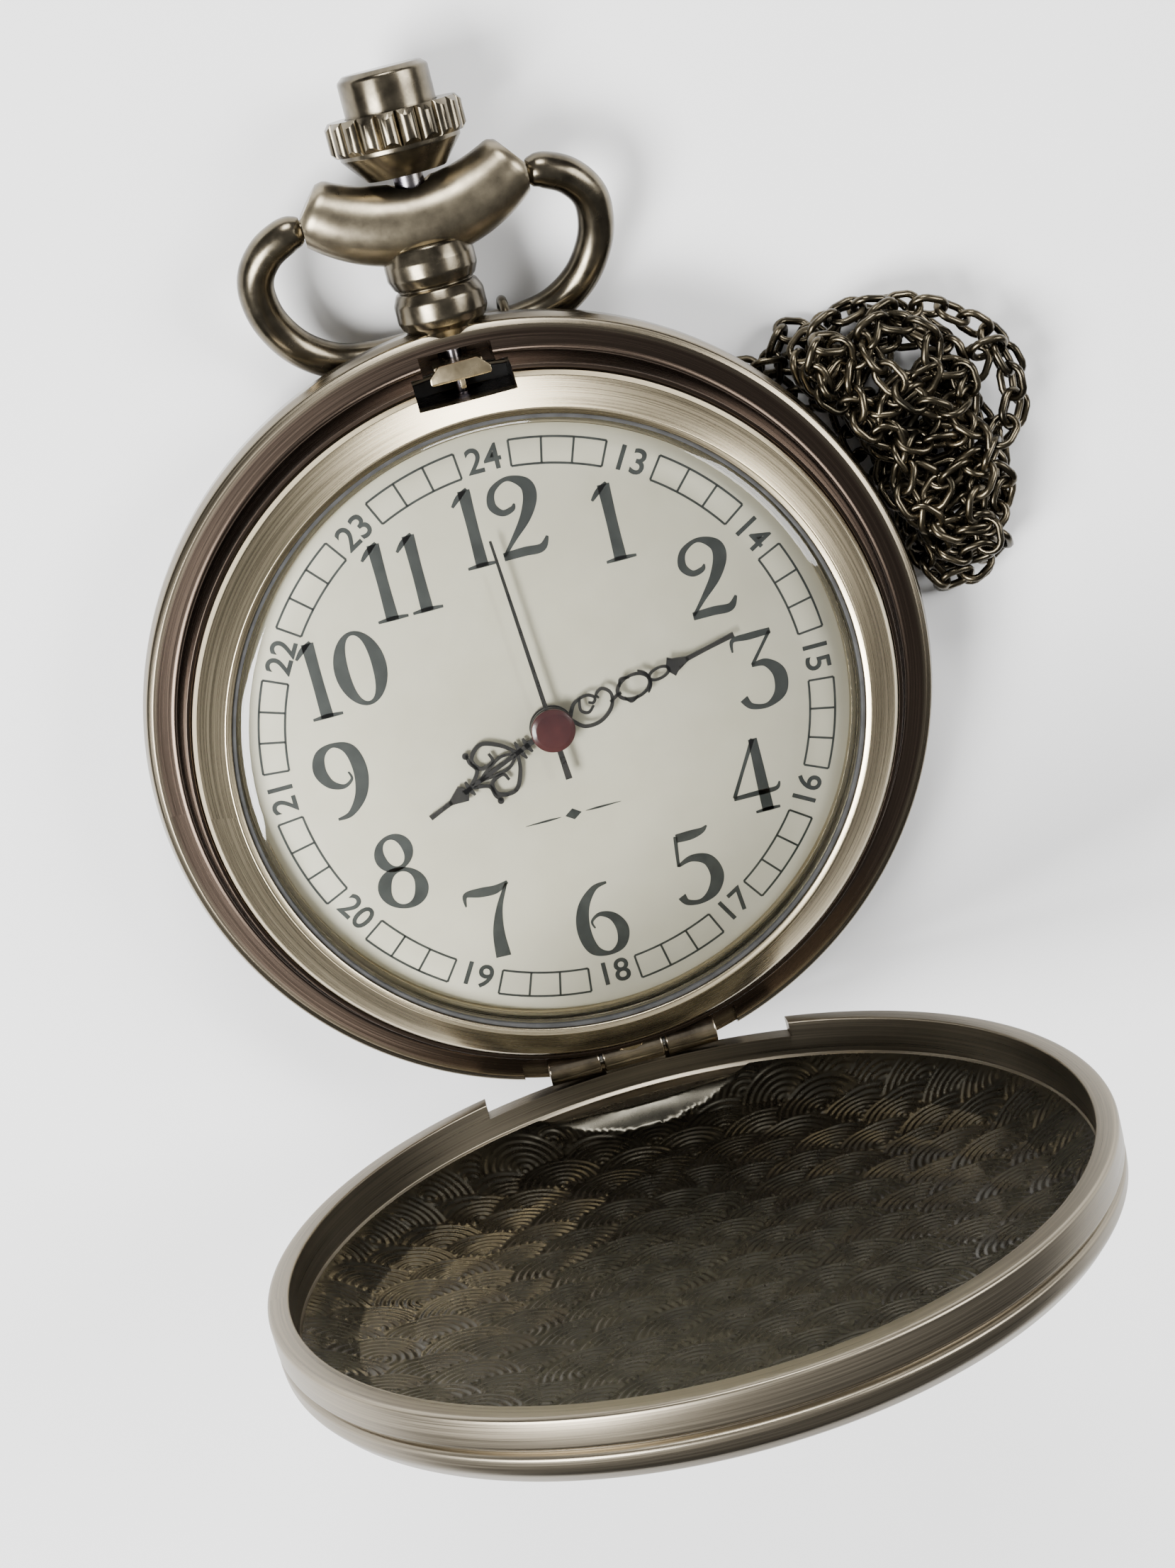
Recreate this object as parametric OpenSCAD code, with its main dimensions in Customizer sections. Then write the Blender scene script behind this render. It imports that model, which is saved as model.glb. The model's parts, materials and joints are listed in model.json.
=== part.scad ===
// Hunter-case quartz pocket watch on a short cable chain.
// The watch lies on its back. +Z is the dial's normal and +Y points to 12 o'clock.
// The origin is the centre of the case back's flat resting face.

/* [Case] */
// Outer diameter of the case at its widest band
case_d = 47; // [44:0.5:50]
// Height of the widest band's lower edge above the resting face
band_low_z = 4.4; // [4.2:0.1:4.8]
// Height of the shoulder that the closed cover's mouth stands over
shoulder_z = 6.6; // [6.4:0.1:6.8]
// Diameter of the flat that the case rests on
back_flat_d = 25; // [20:1:26]
// Diameter of the crystal
crystal_d = 36.2; // [36:0.1:36.4]
// Height of the dial's printed face
dial_z = 8.6; // [8.5:0.05:8.7]

/* [Cover] */
// Angle that the cover stands open at rest
cover_open = 86; // [60:1:90]
// Outer diameter of the cover's rim wall
cover_d = 45.8; // [45:0.1:46]
// Thickness of the cover's rim wall
cover_wall = 1.2; // [1:0.1:1.3]
// Depth of the cover's dish at its middle, below its mouth
cover_depth = 5; // [4.9:0.1:5.3]
// Distance of the hinge axis from the case's centre
hinge_r = 22; // [21.9:0.1:22.1]
// Height of the hinge axis
hinge_z = 6.6; // [6.5:0.1:6.7]
// Outer diameter of the hinge knuckles
knuckle_d = 1.9; // [1.6:0.1:2]

/* [Pendant] */
// Height of the pendant, crown and stem axis
pendant_z = 4.8; // [4.6:0.1:5]
// Distance of the bow's pivot axis from the case's centre
bow_pivot_y = 30.4; // [30:0.1:31]
// Diameter of the bow's wire
bow_wire_d = 2.1; // [1.8:0.1:2.2]
// Half the width of the bow between wire centres
bow_half_w = 9.85; // [9:0.05:10.5]
// Length of the bow from its pivot to its far bar
bow_len = 8.85; // [8.8:0.05:9.2]
// Angle of the folded bow below the line back to the case
bow_fold = 19.8; // [19:0.1:20]
// Diameter of the fluted crown
crown_d = 7.8; // [7:0.1:8.2]

/* [Movement] */
// Diameter of the movement
movement_d = 24; // [23:0.5:26]
// Module of the fine gear teeth
tooth_m = 0.12; // [0.11:0.005:0.13]

/* [Chain] */
// Width of the chain's links
chain_w = 2.4; // [2:0.1:2.6]
// Number of layers in the heap of chain
heap_layers = 3; // [2:1:3]

/* [Hidden] */
$fn = 96;
eps = 0.01;
case_r = case_d / 2;
cover_r = cover_d / 2;
crystal_r = crystal_d / 2;
movement_r = movement_d / 2;
bezel_z = 8.05;
hinge_seat_z = 5.5;
spring_z = 7.6;
mouth_z = shoulder_z + 0.1;
cover_notch = 0.95;
panel_r = 21;
floor_z = mouth_z + cover_depth;
// Radius, height above the dish's middle and metal thickness at points from the cover's rim inwards
dish = [[21.4, -2.55, 1.65], [20.5, -1.95, 1.15], [18.9, -1.05, 0.85], [16, -0.4, 0.85], [10, -0.05, 0.85],
        [0, 0, 0.85]];
dial_t = 0.4;
metal = [0.26, 0.23, 0.20];
bronze = [0.55, 0.46, 0.33];
steel = [0.62, 0.62, 0.62];
gold = [0.80, 0.68, 0.42];
black = [0.07, 0.06, 0.06];
plate_z = 5.3;
plate_t = 0.8;
bridge_z = 1.6;
bridge_t = 0.4;
arbor_r = 0.2;
arbor_hole = 0.27;
post_r = 10;
posts = [28, 175, 285];
third_pos = [34 * tooth_m * cos(200), 34 * tooth_m * sin(200)];
third_m = 34 * tooth_m / 36;
mid_m = 0.175;
mid_pos = [24 * mid_m * cos(-60), 24 * mid_m * sin(-60)];
rotor_m = 0.11;
rotor_pos = mid_pos + [28 * rotor_m * cos(-30), 28 * rotor_m * sin(-30)];
motion_pos = [25 * tooth_m * cos(45), 25 * tooth_m * sin(45)];
cannon_m = 25 * tooth_m / 24;
battery_pos = [-5.8, 5.4];
battery_r = 3.4;
hand_hour_z = 8.85;
hand_minute_z = 9.2;
hand_second_z = 9.6;
hour_angle = 203;
minute_angle = 13;
second_angle = 94;
corner_r = 3.3;
far_r = bow_len - corner_r;
link_x = 3.6;
cap_y = 35.1;
// Points that the chain follows from the bow's link to the heap, under the case's rim
lead_route = [[5.2, 18.8, 1.25], [8.4, 18.7, 1.25], [11.6, 17.6, 1.25], [14.4, 15.7, 1.25],
              [16.6, 13.5, 1.25]];

// Turn a child so that its Z axis lies along +Y
module along_y() {
  rotate([-90, 0, 0]) children();
}

// Flat-faced spur gear: tooth 0 is centred on the angle turn
module gear(teeth, m, h, bore, turn = 0) {
  pitch = 360 / teeth;
  tip = (teeth / 2 + 0.8) * m;
  root = (teeth / 2 - 1.1) * m;
  corners = [[-0.23, root], [-0.11, tip], [0.11, tip], [0.23, root]];
  difference() {
    linear_extrude(h)
      polygon([for (i = [0:teeth - 1], c = corners)
        let (a = turn + (i + c[0]) * pitch) [c[1] * cos(a), c[1] * sin(a)]]);
    translate([0, 0, -eps]) cylinder(r = bore, h = h + 2 * eps, $fn = 12);
  }
}

// Flat-faced arbor
module arbor(r, z0, z1) {
  translate([0, 0, z0]) cylinder(r = r, h = z1 - z0, $fn = 12);
}

// Put the children back at their rest place after drawing them with the cover shut
module cover_frame() {
  translate([0, -hinge_r, hinge_z]) rotate([cover_open, 0, 0]) translate([0, hinge_r, -hinge_z])
    children();
}

// Put the children in the bow's frame: Y runs from the pivot to the far bar, Z is its normal
module bow_frame() {
  translate([0, bow_pivot_y, pendant_z]) rotate([180 + bow_fold, 0, 0]) children();
}

// Case band with hinge notch, latch pocket and stem hole
module case_middle() {
  profile = [[18.5, 3.7], [18.5, bezel_z], [20.7, bezel_z], [20.7, 8.6], [20.95, 8.6], [21.2, 7.6],
             [21.5, shoulder_z + 0.05], [22.9, shoulder_z], [23.25, 6.4], [case_r, 5.7],
             [case_r, band_low_z], [23.2, 4], [22.4, 3.75],
             [20.8, 3.7], [20.8, 4.1], [19.2, 4.1], [19.2, 3.7]];
  color(metal) {
    difference() {
      rotate_extrude() polygon(profile);
      translate([-6.8, -case_r - 1, hinge_seat_z]) cube([13.6, case_r + 1 - 20.95, 6]);
      translate([-2.8, 19.6, 3.95]) cube([5.6, 1.5, 6]);
      translate([-2.1, 21, 3.95]) cube([4.2, 1.15, 6]);
      translate([0, 17, pendant_z]) along_y() cylinder(r = 1.2, h = 8);
      translate([-1.2, 18, plate_z - 0.5]) cube([2.4, 2.5, 1.2]);
      translate([-1.3, -21.9, spring_z - 0.05]) cube([2.6, 3.3, 0.35]);
    }
    for (side = [-1, 1]) difference() {
      union() {
        translate([side * 3.7 - 1.6, -hinge_r, hinge_z]) rotate([0, 90, 0])
          cylinder(d = knuckle_d, h = 3.2);
        translate([side * 3.7 - 1.6, -22.6, hinge_seat_z - 0.1]) cube([3.2, 1.7, hinge_z - hinge_seat_z]);
      }
      translate([side * 3.7 - 3, -hinge_r, hinge_z]) rotate([0, 90, 0]) cylinder(r = 0.42, h = 6);
    }
  }
}

// Domed snap-on back with the flat that the watch rests on
module case_back() {
  flat = back_flat_d / 2;
  profile = [[0, 0], [flat, 0], [14.5, 0.3], [16.5, 1], [18.4, 2.05], [19.8, 3.05], [20.7, 3.6], [20.7, 3.8],
             [19.6, 3.8], [18.4, 3.1], [18.4, 4.1], [17.7, 4.1], [17.7, 2.65], [16.2, 1.85],
             [14.3, 1.1], [12.3, 0.8], [0, 0.8]];
  color(metal) rotate_extrude() polygon(profile);
}

// Ring that seals the back against the band
module back_gasket() {
  color(black) translate([0, 0, 3.8]) rotate_extrude() translate([19.7, 0]) square([0.8, 0.3]);
}

// Sloping bezel that holds the crystal, notched for the catch
module bezel_ring() {
  profile = [[17.7, dial_z], [17.7, 9.1], [18.35, 9.1], [18.35, 10.15], [18.7, 10.3], [20.35, 9.15],
             [20.6, 8.8], [20.6, bezel_z + 0.01], [18.35, bezel_z + 0.01], [18.35, dial_z]];
  color(bronze) difference() {
    rotate_extrude() polygon(profile);
    translate([-2.8, 19.6, 8]) cube([5.6, 2, 2]);
  }
}

// Ring between the crystal's edge and the bezel
module crystal_gasket() {
  color(black) translate([0, 0, 9.1]) rotate_extrude() translate([crystal_r + 0.01, 0]) square([0.23, 0.9]);
}

// Domed crystal
module crystal() {
  sag = 1.45;
  thickness = 0.7;
  dome_r = (crystal_r * crystal_r + sag * sag) / (2 * sag);
  centre_z = 9.9 + sag - dome_r;
  top = [for (i = [0:8]) let (r = crystal_r * i / 8) [r, centre_z + sqrt(dome_r * dome_r - r * r)]];
  under = [for (i = [8:-1:0]) let (r = crystal_r * i / 8) [r, top[i][1] - thickness]];
  color([0.8, 0.9, 0.95, 0.35]) rotate_extrude() polygon(concat(top, under));
}

// Dial plate with its centre hole
module dial() {
  color([0.80, 0.77, 0.68]) translate([0, 0, dial_z - dial_t]) difference() {
    cylinder(r = 18.3, h = dial_t);
    translate([0, 0, -eps]) cylinder(r = 1.1, h = dial_t + 2 * eps);
  }
}

// Plastic ring that centres the movement and carries the dial
module movement_ring() {
  color([0.85, 0.85, 0.82]) difference() {
    translate([0, 0, 4.2]) difference() {
      cylinder(r = 18.3, h = 4);
      translate([0, 0, -eps]) cylinder(r = movement_r + 0.05, h = 5);
    }
    translate([0, 10, pendant_z]) along_y() cylinder(r = 1, h = 10);
    translate([-1, 10, 4]) cube([2, 10, 0.8]);
  }
}

// Main plate with a rim wall, screw posts and arbor holes
module main_plate() {
  color(gold) difference() {
    union() {
      translate([0, 0, plate_z]) cylinder(r = movement_r, h = plate_t);
      difference() {
        translate([0, 0, bridge_z]) cylinder(r = movement_r, h = plate_z - bridge_z + eps);
        translate([0, 0, bridge_z - eps]) cylinder(r = movement_r - 0.6, h = plate_z - bridge_z + eps);
      }
      for (a = posts) rotate(a) translate([post_r, 0, bridge_z + bridge_t])
        cylinder(r = 0.8, h = plate_z - bridge_z - bridge_t + eps);
    }
    for (a = posts) rotate(a) translate([post_r, 0, bridge_z]) cylinder(r = 0.32, h = 3);
    translate([0, 0, plate_z - eps]) cylinder(r = 0.55, h = 1, $fn = 12);
    for (p = [third_pos, mid_pos, rotor_pos])
      translate([p[0], p[1], plate_z - eps]) cylinder(r = arbor_hole, h = 0.65, $fn = 12);
    translate([motion_pos[0], motion_pos[1], plate_z - eps]) cylinder(r = 0.3, h = 1, $fn = 12);
    translate([-1.1, 4.8, plate_z - eps]) cube([2.2, 3.4, 1]);
    translate([0, movement_r - 2, pendant_z]) along_y() cylinder(r = 0.95, h = 3);
  }
}

// Stud that the minute wheel turns on
module minute_wheel_stud() {
  color(steel) translate([motion_pos[0], motion_pos[1], 0]) arbor(0.3, plate_z, 7.6);
}

// Bridge that carries the lower pivots of the train
module train_bridge() {
  color(gold) translate([0, 0, bridge_z]) difference() {
    cylinder(r = movement_r - 0.7, h = bridge_t);
    translate([battery_pos[0], battery_pos[1], -eps]) cylinder(r = battery_r + 0.3, h = 1);
    for (p = [[0, 0], third_pos, mid_pos, rotor_pos])
      translate([p[0], p[1], -eps]) cylinder(r = arbor_hole, h = 1, $fn = 12);
    for (a = posts) rotate(a) translate([post_r, 0, -eps]) cylinder(r = 0.34, h = 1);
  }
}

// Three slotted screws that hold the bridge
module bridge_screws() {
  color(steel) for (a = posts) rotate(a) translate([post_r, 0, bridge_z]) difference() {
    union() {
      translate([0, 0, -0.45]) cylinder(r = 0.7, h = 0.45);
      cylinder(r = 0.3, h = 2.4);
    }
    translate([-1, -0.09, -0.5]) cube([2, 0.18, 0.25]);
  }
}

// Stator plate round the rotor, with the core that passes through the coil
module stator() {
  color(steel) translate([0, 0, 3.5]) difference() {
    intersection() {
      union() {
        translate([3.2, -7, 0]) cube([7, 3.6, 0.3]);
        translate([8, -3.5, 0]) cube([1.2, 7.1, 0.3]);
      }
      translate([0, 0, -eps]) cylinder(r = 11.2, h = 1);
    }
    translate([rotor_pos[0], rotor_pos[1], -eps]) cylinder(r = 1.4, h = 1);
  }
}

// Drive coil on the stator's core
module coil() {
  color([0.62, 0.30, 0.14]) translate([8.6, -2.8, 3.65]) along_y() difference() {
    cylinder(r = 1.3, h = 5.8);
    translate([-0.62, -0.17, -eps]) cube([1.24, 0.34, 6]);
  }
}

// Circuit board beside the train
module circuit_board() {
  color([0.10, 0.30, 0.16]) translate([0, 0, 2.65]) intersection() {
    translate([-8.5, -9.6, 0]) cube([9.7, 3.9, 0.25]);
    cylinder(r = 11.2, h = 1);
  }
}

// Drop of black resin over the driver chip
module driver_chip() {
  color(black) translate([-5.2, -6.6, 2.9]) cylinder(r1 = 0.8, r2 = 0.5, h = 0.5);
}

// Tubular quartz crystal can
module quartz_can() {
  color(steel) translate([-5.6, -8.6, 3.66]) rotate([0, 90, 0]) cylinder(r = 0.75, h = 5);
}

// Button cell
module battery() {
  color([0.75, 0.75, 0.76]) translate([battery_pos[0], battery_pos[1], 2.1]) {
    cylinder(r = battery_r, h = 1.9);
    translate([0, 0, 1.9 - eps]) cylinder(r = battery_r - 0.5, h = 0.7);
  }
}

// Sprung strap that holds the cell and makes contact
module battery_strap() {
  color(gold) translate([battery_pos[0], battery_pos[1], bridge_z - 0.2]) rotate(43) {
    translate([-4.6, -0.6, 0]) cube([9.2, 1.2, 0.2]);
    cylinder(r = 0.6, h = 0.7);
  }
}

// Neck with two beads, screwed into the band
module pendant_neck() {
  profile = [[1.2, 0], [1.9, 0], [2.05, 0.35], [2.35, 0.65], [2.6, 1.2], [2.6, 2], [2.35, 2.6], [2.15, 2.8],
             [2.35, 3], [2.6, 3.5], [2.6, 4.3], [2.4, 5.2], [1.2, 5.2]];
  color(metal) translate([0, case_r - 0.6, pendant_z]) along_y()
    rotate_extrude() polygon(profile);
}

// Crescent saddle whose upturned ends hold the bow
module pendant_saddle() {
  // Distance along the crescent's width, setback from the bow's pivot, radius and lean of each section
  sections = [[0, -1.13, 2.27, 0], [3.1, -0.61, 2.15, 19], [5.9, 0.93, 1.78, 38]];
  module section(s) {
    translate([s[0], s[1], 0]) rotate([0, 0, s[3]]) rotate([0, 90, 0])
      cylinder(r = s[2], h = 0.2, center = true, $fn = 32);
  }
  color(metal) translate([0, bow_pivot_y, pendant_z]) difference() {
    for (side = [0, 1], i = [0, 1]) mirror([side, 0, 0]) hull() {
      section(sections[i]);
      section(sections[i + 1]);
    }
    translate([0, -4, 0]) along_y() cylinder(r = 1.25, h = 6);
    translate([-8, 0, 0]) rotate([0, 90, 0]) cylinder(r = 0.65, h = 16);
    for (side = [0, 1]) mirror([side, 0, 0]) translate([6.4, -4, -4]) cube(8);
  }
}

// Pin through the hinge knuckles
module hinge_pin() {
  color(steel) translate([-5.3, -hinge_r, hinge_z]) rotate([0, 90, 0]) cylinder(r = 0.4, h = 10.6);
}

// Leaf that pushes the cover open, with its round tip over the middle knuckle
module lift_spring() {
  color(bronze) translate([0, -20.7, spring_z]) {
    translate([-1.2, 0, 0]) cube([2.4, 1.9, 0.25]);
    cylinder(r = 0.85, h = 0.25);
  }
}

// Stretch of chain from the bow's link to the heap, drawn as a plain tube
module chain_lead() {
  n = len(lead_route);
  sides = 8;
  r = chain_w / 2;
  function heading(i) = let (d = lead_route[min(i + 1, n - 1)] - lead_route[max(i - 1, 0)]) d / norm(d);
  points = [for (i = [0:n - 1], k = [0:sides - 1])
    let (t = heading(i), a = 360 * k / sides)
    lead_route[i] + r * (cos(a) * [t[1], -t[0], 0] + sin(a) * [0, 0, 1])];
  walls = [for (i = [0:n - 2], k = [0:sides - 1])
    let (j = (k + 1) % sides) [i * sides + k, (i + 1) * sides + k, (i + 1) * sides + j, i * sides + j]];
  ends = [[for (k = [0:sides - 1]) k], [for (k = [sides - 1:-1:0]) (n - 1) * sides + k]];
  color(metal) polyhedron(points, concat(walls, ends));
}

// Outer shape of the heap of chain, in layers
module chain_heap() {
  outlines = [
    [[16.9, 12.9], [15.4, 16.2], [18.4, 17.9], [23.7, 18.4], [26.2, 18.7], [29.3, 16.9], [33, 13.4],
     [33.3, 10.4], [31.6, 6.2], [30.9, 1.6], [27.9, -0.9], [24.2, -1.4], [21.2, 3.8], [20.4, 7.6],
     [18.9, 10.2]],
    [[20.6, 12.6], [17.6, 16.9], [18.6, 18], [23.2, 18.2], [26.2, 18.9], [28.8, 17.2], [32.4, 13.8],
     [32.8, 11], [30.2, 8.4], [31, 6], [29.8, 2.4], [26.8, 0.6], [24.6, 1.6], [23.9, 5.2], [22.7, 9]],
    [[22.6, 10.6], [21.6, 13.4], [19.4, 16.6], [22.7, 17.9], [25.4, 18.6], [27.8, 16.9], [31, 13.4],
     [31.4, 11], [29, 8.8], [29.8, 5.6], [28, 3.6], [25.4, 3.2], [24.4, 6.4]]];
  color(metal) for (i = [0:heap_layers - 1])
    translate([0, 0, i * chain_w]) linear_extrude(chain_w + eps) polygon(outlines[i]);
}

// Dished front cover with its rim wall, rounded shoulder and hinge arm
module front_cover() {
  inner = cover_r - cover_wall;
  profile = concat([[inner, mouth_z], [cover_r, mouth_z], [cover_r, 8.35], [cover_r - 0.35, 8.55],
                    [cover_r, 8.75], [cover_r - 0.05, 9.6], [cover_r - 0.6, 10.3]],
                   [for (p = dish) [p[0], p[1] + floor_z + p[2]]],
                   [for (i = [len(dish) - 1:-1:0]) [dish[i][0], dish[i][1] + floor_z]],
                   [[inner, 8.95]]);
  color(metal) cover_frame() {
    difference() {
      union() {
        difference() {
          rotate_extrude() polygon(profile);
          translate([-9.5, -24, mouth_z - 1]) cube([19, 5, 1 + cover_notch]);
        }
        translate([-1.9, -hinge_r, hinge_z]) rotate([0, 90, 0]) cylinder(d = knuckle_d, h = 3.8);
        translate([-1.9, -22.85, hinge_z]) cube([3.8, 0.95, 1.2]);
      }
      translate([-3, -hinge_r, hinge_z]) rotate([0, 90, 0]) cylinder(r = 0.45, h = 6);
      translate([-3.2, inner - 0.6, 7.2]) cube([6.4, 1.1, 0.9]);
    }
  }
}

// Engraved sheet pressed into the cover's dish
module cover_panel() {
  lining = concat([for (p = dish) [min(p[0], panel_r), p[1] + floor_z]],
                  [for (i = [len(dish) - 1:-1:0]) [min(dish[i][0], panel_r), dish[i][1] + floor_z - 0.15]]);
  color([0.30, 0.27, 0.24]) cover_frame() rotate_extrude() polygon(lining);
}

// Bow of round wire with pivot stubs in the saddle's ends
module bow() {
  r = bow_wire_d / 2;
  corner_x = bow_half_w - corner_r;
  far_x = bow_half_w - far_r;
  color(metal) bow_frame() {
    for (side = [0, 1]) mirror([side, 0, 0]) {
      translate([corner_x, corner_r, 0]) rotate([0, 0, -90]) rotate_extrude(angle = 90)
        translate([corner_r, 0]) circle(r = r);
      translate([far_x, corner_r, 0]) rotate_extrude(angle = 90) translate([far_r, 0]) circle(r = r);
      translate([corner_x - 1.3, 0, 0]) rotate([0, 90, 0]) cylinder(r = 0.55, h = 1.4);
    }
    translate([-far_x, bow_len, 0]) rotate([0, 90, 0]) cylinder(r = r, h = 2 * far_x);
  }
}

// Pear-shaped link round the bow's far bar
module bow_link() {
  bar_y = bow_pivot_y - bow_len * cos(bow_fold);
  bar_z = pendant_z - bow_len * sin(bow_fold);
  module pear(grow) {
    r = bow_wire_d / 2 + 0.12 + grow;
    tip = 0.45 + grow;
    hull() {
      translate([bar_y, bar_z]) circle(r = r, $fn = 32);
      translate([bar_y - 2.5, bar_z - 0.72]) circle(r = tip, $fn = 24);
    }
  }
  color(metal) translate([link_x - 0.3, 0, 0]) rotate([90, 0, 90]) linear_extrude(0.6) difference() {
    pear(0.6);
    pear(0);
  }
}

// Catch with the tongue that holds the closed cover, pushed in by the button's tube
module latch_catch() {
  color(bronze) difference() {
    union() {
      translate([-1.4, 20.9, 4.15]) cube([2.8, 0.7, 3.75]);
      translate([-1.8, 20.5, 7.5]) cube([3.6, 1.12, 0.4]);
    }
    translate([0, 20, pendant_z]) along_y() cylinder(r = 0.55, h = 3);
  }
}

// Fluted crown with its conical skirt
module crown() {
  flutes = 20;
  r = crown_d / 2;
  color(metal) translate([0, 0, pendant_z]) along_y() difference() {
    union() {
      translate([0, 0, 32.05]) cylinder(r1 = 2.2, r2 = r - 0.5, h = 1.35);
      translate([0, 0, 33.4 - eps]) cylinder(r1 = r - 0.5, r2 = r - 0.2, h = 0.3);
      translate([0, 0, 33.7 - 2 * eps]) cylinder(r = r - 0.2, h = 1.9);
      for (i = [0:flutes - 1]) rotate(i * 360 / flutes) translate([r - 0.35, 0, 33.6])
        cylinder(r = 0.35, h = 1.9);
    }
    translate([0, 0, 31]) cylinder(r = 0.95, h = 3);
    translate([0, 0, 33.9]) cylinder(r = 2.7, h = 3);
    translate([-3, 0, 33.6]) rotate([0, 90, 0]) cylinder(r = 0.2, h = 6);
  }
}

// Cross pin that ties the crown to the stem through the button's slots
module crown_cross_pin() {
  color(steel) translate([-2.9, 33.6, pendant_z]) rotate([0, 90, 0]) cylinder(r = 0.2, h = 5.8);
}

// Stem that the crown turns and pulls
module setting_stem() {
  color(steel) translate([0, 5.3, pendant_z]) along_y() difference() {
    cylinder(r = 0.4, h = 29);
    translate([-1, 0, 28.3]) rotate([0, 90, 0]) cylinder(r = 0.2, h = 2);
  }
}

// Lever plate in the stem's groove, which slides with the stem but doesn't turn
module setting_lever() {
  color(steel) difference() {
    translate([-0.9, 8.6, 3.5]) cube([3.3, 0.3, 1.7]);
    translate([0, 8, pendant_z]) along_y() cylinder(r = 0.46, h = 2);
  }
}

// Pinion on the stem's inner end
module sliding_pinion() {
  color(steel) translate([0, 5.5, pendant_z]) along_y() gear(10, 0.15, 1.2, 0.42);
}

// Button in the crown's top, with the slotted tube that reaches the catch
module push_button() {
  color(metal) translate([0, 0, pendant_z]) along_y() difference() {
    union() {
      translate([0, 0, cap_y]) cylinder(r = 2.6, h = 2.3);
      translate([0, 0, cap_y + 2.3 - eps]) cylinder(r1 = 2.6, r2 = 2.3, h = 0.35);
    }
    translate([0, 0, cap_y - 1]) cylinder(r = 0.48, h = 1.2);
  }
}

// Tube that the button's cap is pressed on: it slides over the stem and pushes the catch
module push_tube() {
  color(steel) translate([0, 0, pendant_z]) along_y() difference() {
    translate([0, 0, 22]) cylinder(r = 0.85, h = cap_y - 22);
    translate([0, 0, 21]) cylinder(r = 0.48, h = cap_y);
    translate([-3, -0.25, 33.3]) cube([6, 0.5, 1.5]);
  }
}

// Rounded arrow hand lying flat, pointing along +X
module hand(reach, tail, width, thickness, hole) {
  linear_extrude(thickness) difference() {
    union() {
      circle(r = hole + 0.75, $fn = 32);
      polygon([[-tail, -width * 0.2], [reach * 0.3, -width * 0.35], [reach * 0.55, -width / 2],
               [reach * 0.75, -width * 0.25], [reach * 0.85, -width * 0.4], [reach, 0],
               [reach * 0.85, width * 0.4], [reach * 0.75, width * 0.25], [reach * 0.55, width / 2],
               [reach * 0.3, width * 0.35], [-tail, width * 0.2]]);
    }
    circle(r = hole, $fn = 12);
  }
}

// Thin seconds hand with a counterweight tail
module seconds_hand() {
  color(black) translate([0, 0, hand_second_z]) rotate(second_angle) hand(11.7, 3.1, 0.5, 0.12, arbor_r);
}

// Round cap over the hands' centre
module hand_cap() {
  color([0.16, 0.08, 0.07]) translate([0, 0, hand_second_z + 0.12]) cylinder(r1 = 1.3, r2 = 1, h = 0.25);
}

// Wheel, pinion and arbor that turn once a minute
module seconds_wheel() {
  color(gold) {
    translate([0, 0, 3]) gear(40, mid_m, 0.3, arbor_r, -60);
    translate([0, 0, 3.5]) gear(8, tooth_m, 0.6, arbor_r, 200);
    arbor(arbor_r, bridge_z, hand_second_z + 0.12);
  }
}

// Minute hand
module minute_hand() {
  color(black) translate([0, 0, hand_minute_z]) rotate(minute_angle) hand(11.8, 2.2, 1.8, 0.15, 0.6);
}

// Centre wheel on its hollow arbor
module centre_wheel() {
  color(gold) difference() {
    union() {
      translate([0, 0, 4.6]) gear(64, third_m, 0.3, 0.4, 200);
      arbor(0.45, 4.4, 8);
    }
    translate([0, 0, 4]) cylinder(r = arbor_hole, h = 5, $fn = 12);
  }
}

// Cannon pinion that carries the minute hand
module cannon_pinion() {
  color(steel) difference() {
    union() {
      translate([0, 0, 6.3]) gear(12, cannon_m, 0.7, 0.5, 45);
      arbor(0.6, 6.3, hand_minute_z + 0.2);
    }
    translate([0, 0, 6]) cylinder(r = 0.45, h = 5, $fn = 12);
  }
}

// Hour hand
module hour_hand() {
  color(black) translate([0, 0, hand_hour_z]) rotate(hour_angle) hand(8.9, 1.6, 2.4, 0.15, 0.9);
}

// Hour wheel on the tube that carries the hour hand
module hour_wheel() {
  color(gold) difference() {
    union() {
      translate([0, 0, 7.1]) gear(40, tooth_m, 0.3, 0.8, 45);
      arbor(0.9, 7.1, hand_hour_z + 0.2);
    }
    translate([0, 0, 7]) cylinder(r = 0.67, h = 5, $fn = 12);
  }
}

// Minute wheel and its pinion on the stud
module minute_wheel() {
  color(gold) translate([motion_pos[0], motion_pos[1], 0]) {
    translate([0, 0, 6.4]) gear(36, cannon_m, 0.3, 0.37, 225 + 5);
    translate([0, 0, 6.7]) gear(10, tooth_m, 0.75, 0.37, 225 + 18);
  }
}

// Third wheel, its pinion and arbor
module third_wheel() {
  color(gold) translate([third_pos[0], third_pos[1], 0]) {
    translate([0, 0, 3.7]) gear(60, tooth_m, 0.3, arbor_r, 20 + 3);
    translate([0, 0, 4.4]) gear(8, third_m, 0.6, arbor_r, 20 + 22.5);
    arbor(arbor_r, bridge_z, 5.9);
  }
}

// Intermediate wheel, its pinion and arbor
module intermediate_wheel() {
  color(gold) translate([mid_pos[0], mid_pos[1], 0]) {
    translate([0, 0, 2.8]) gear(8, mid_m, 0.6, arbor_r, 120 + 22.5);
    translate([0, 0, 2.3]) gear(48, rotor_m, 0.3, arbor_r, -30);
    arbor(arbor_r, bridge_z, 5.9);
  }
}

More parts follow.
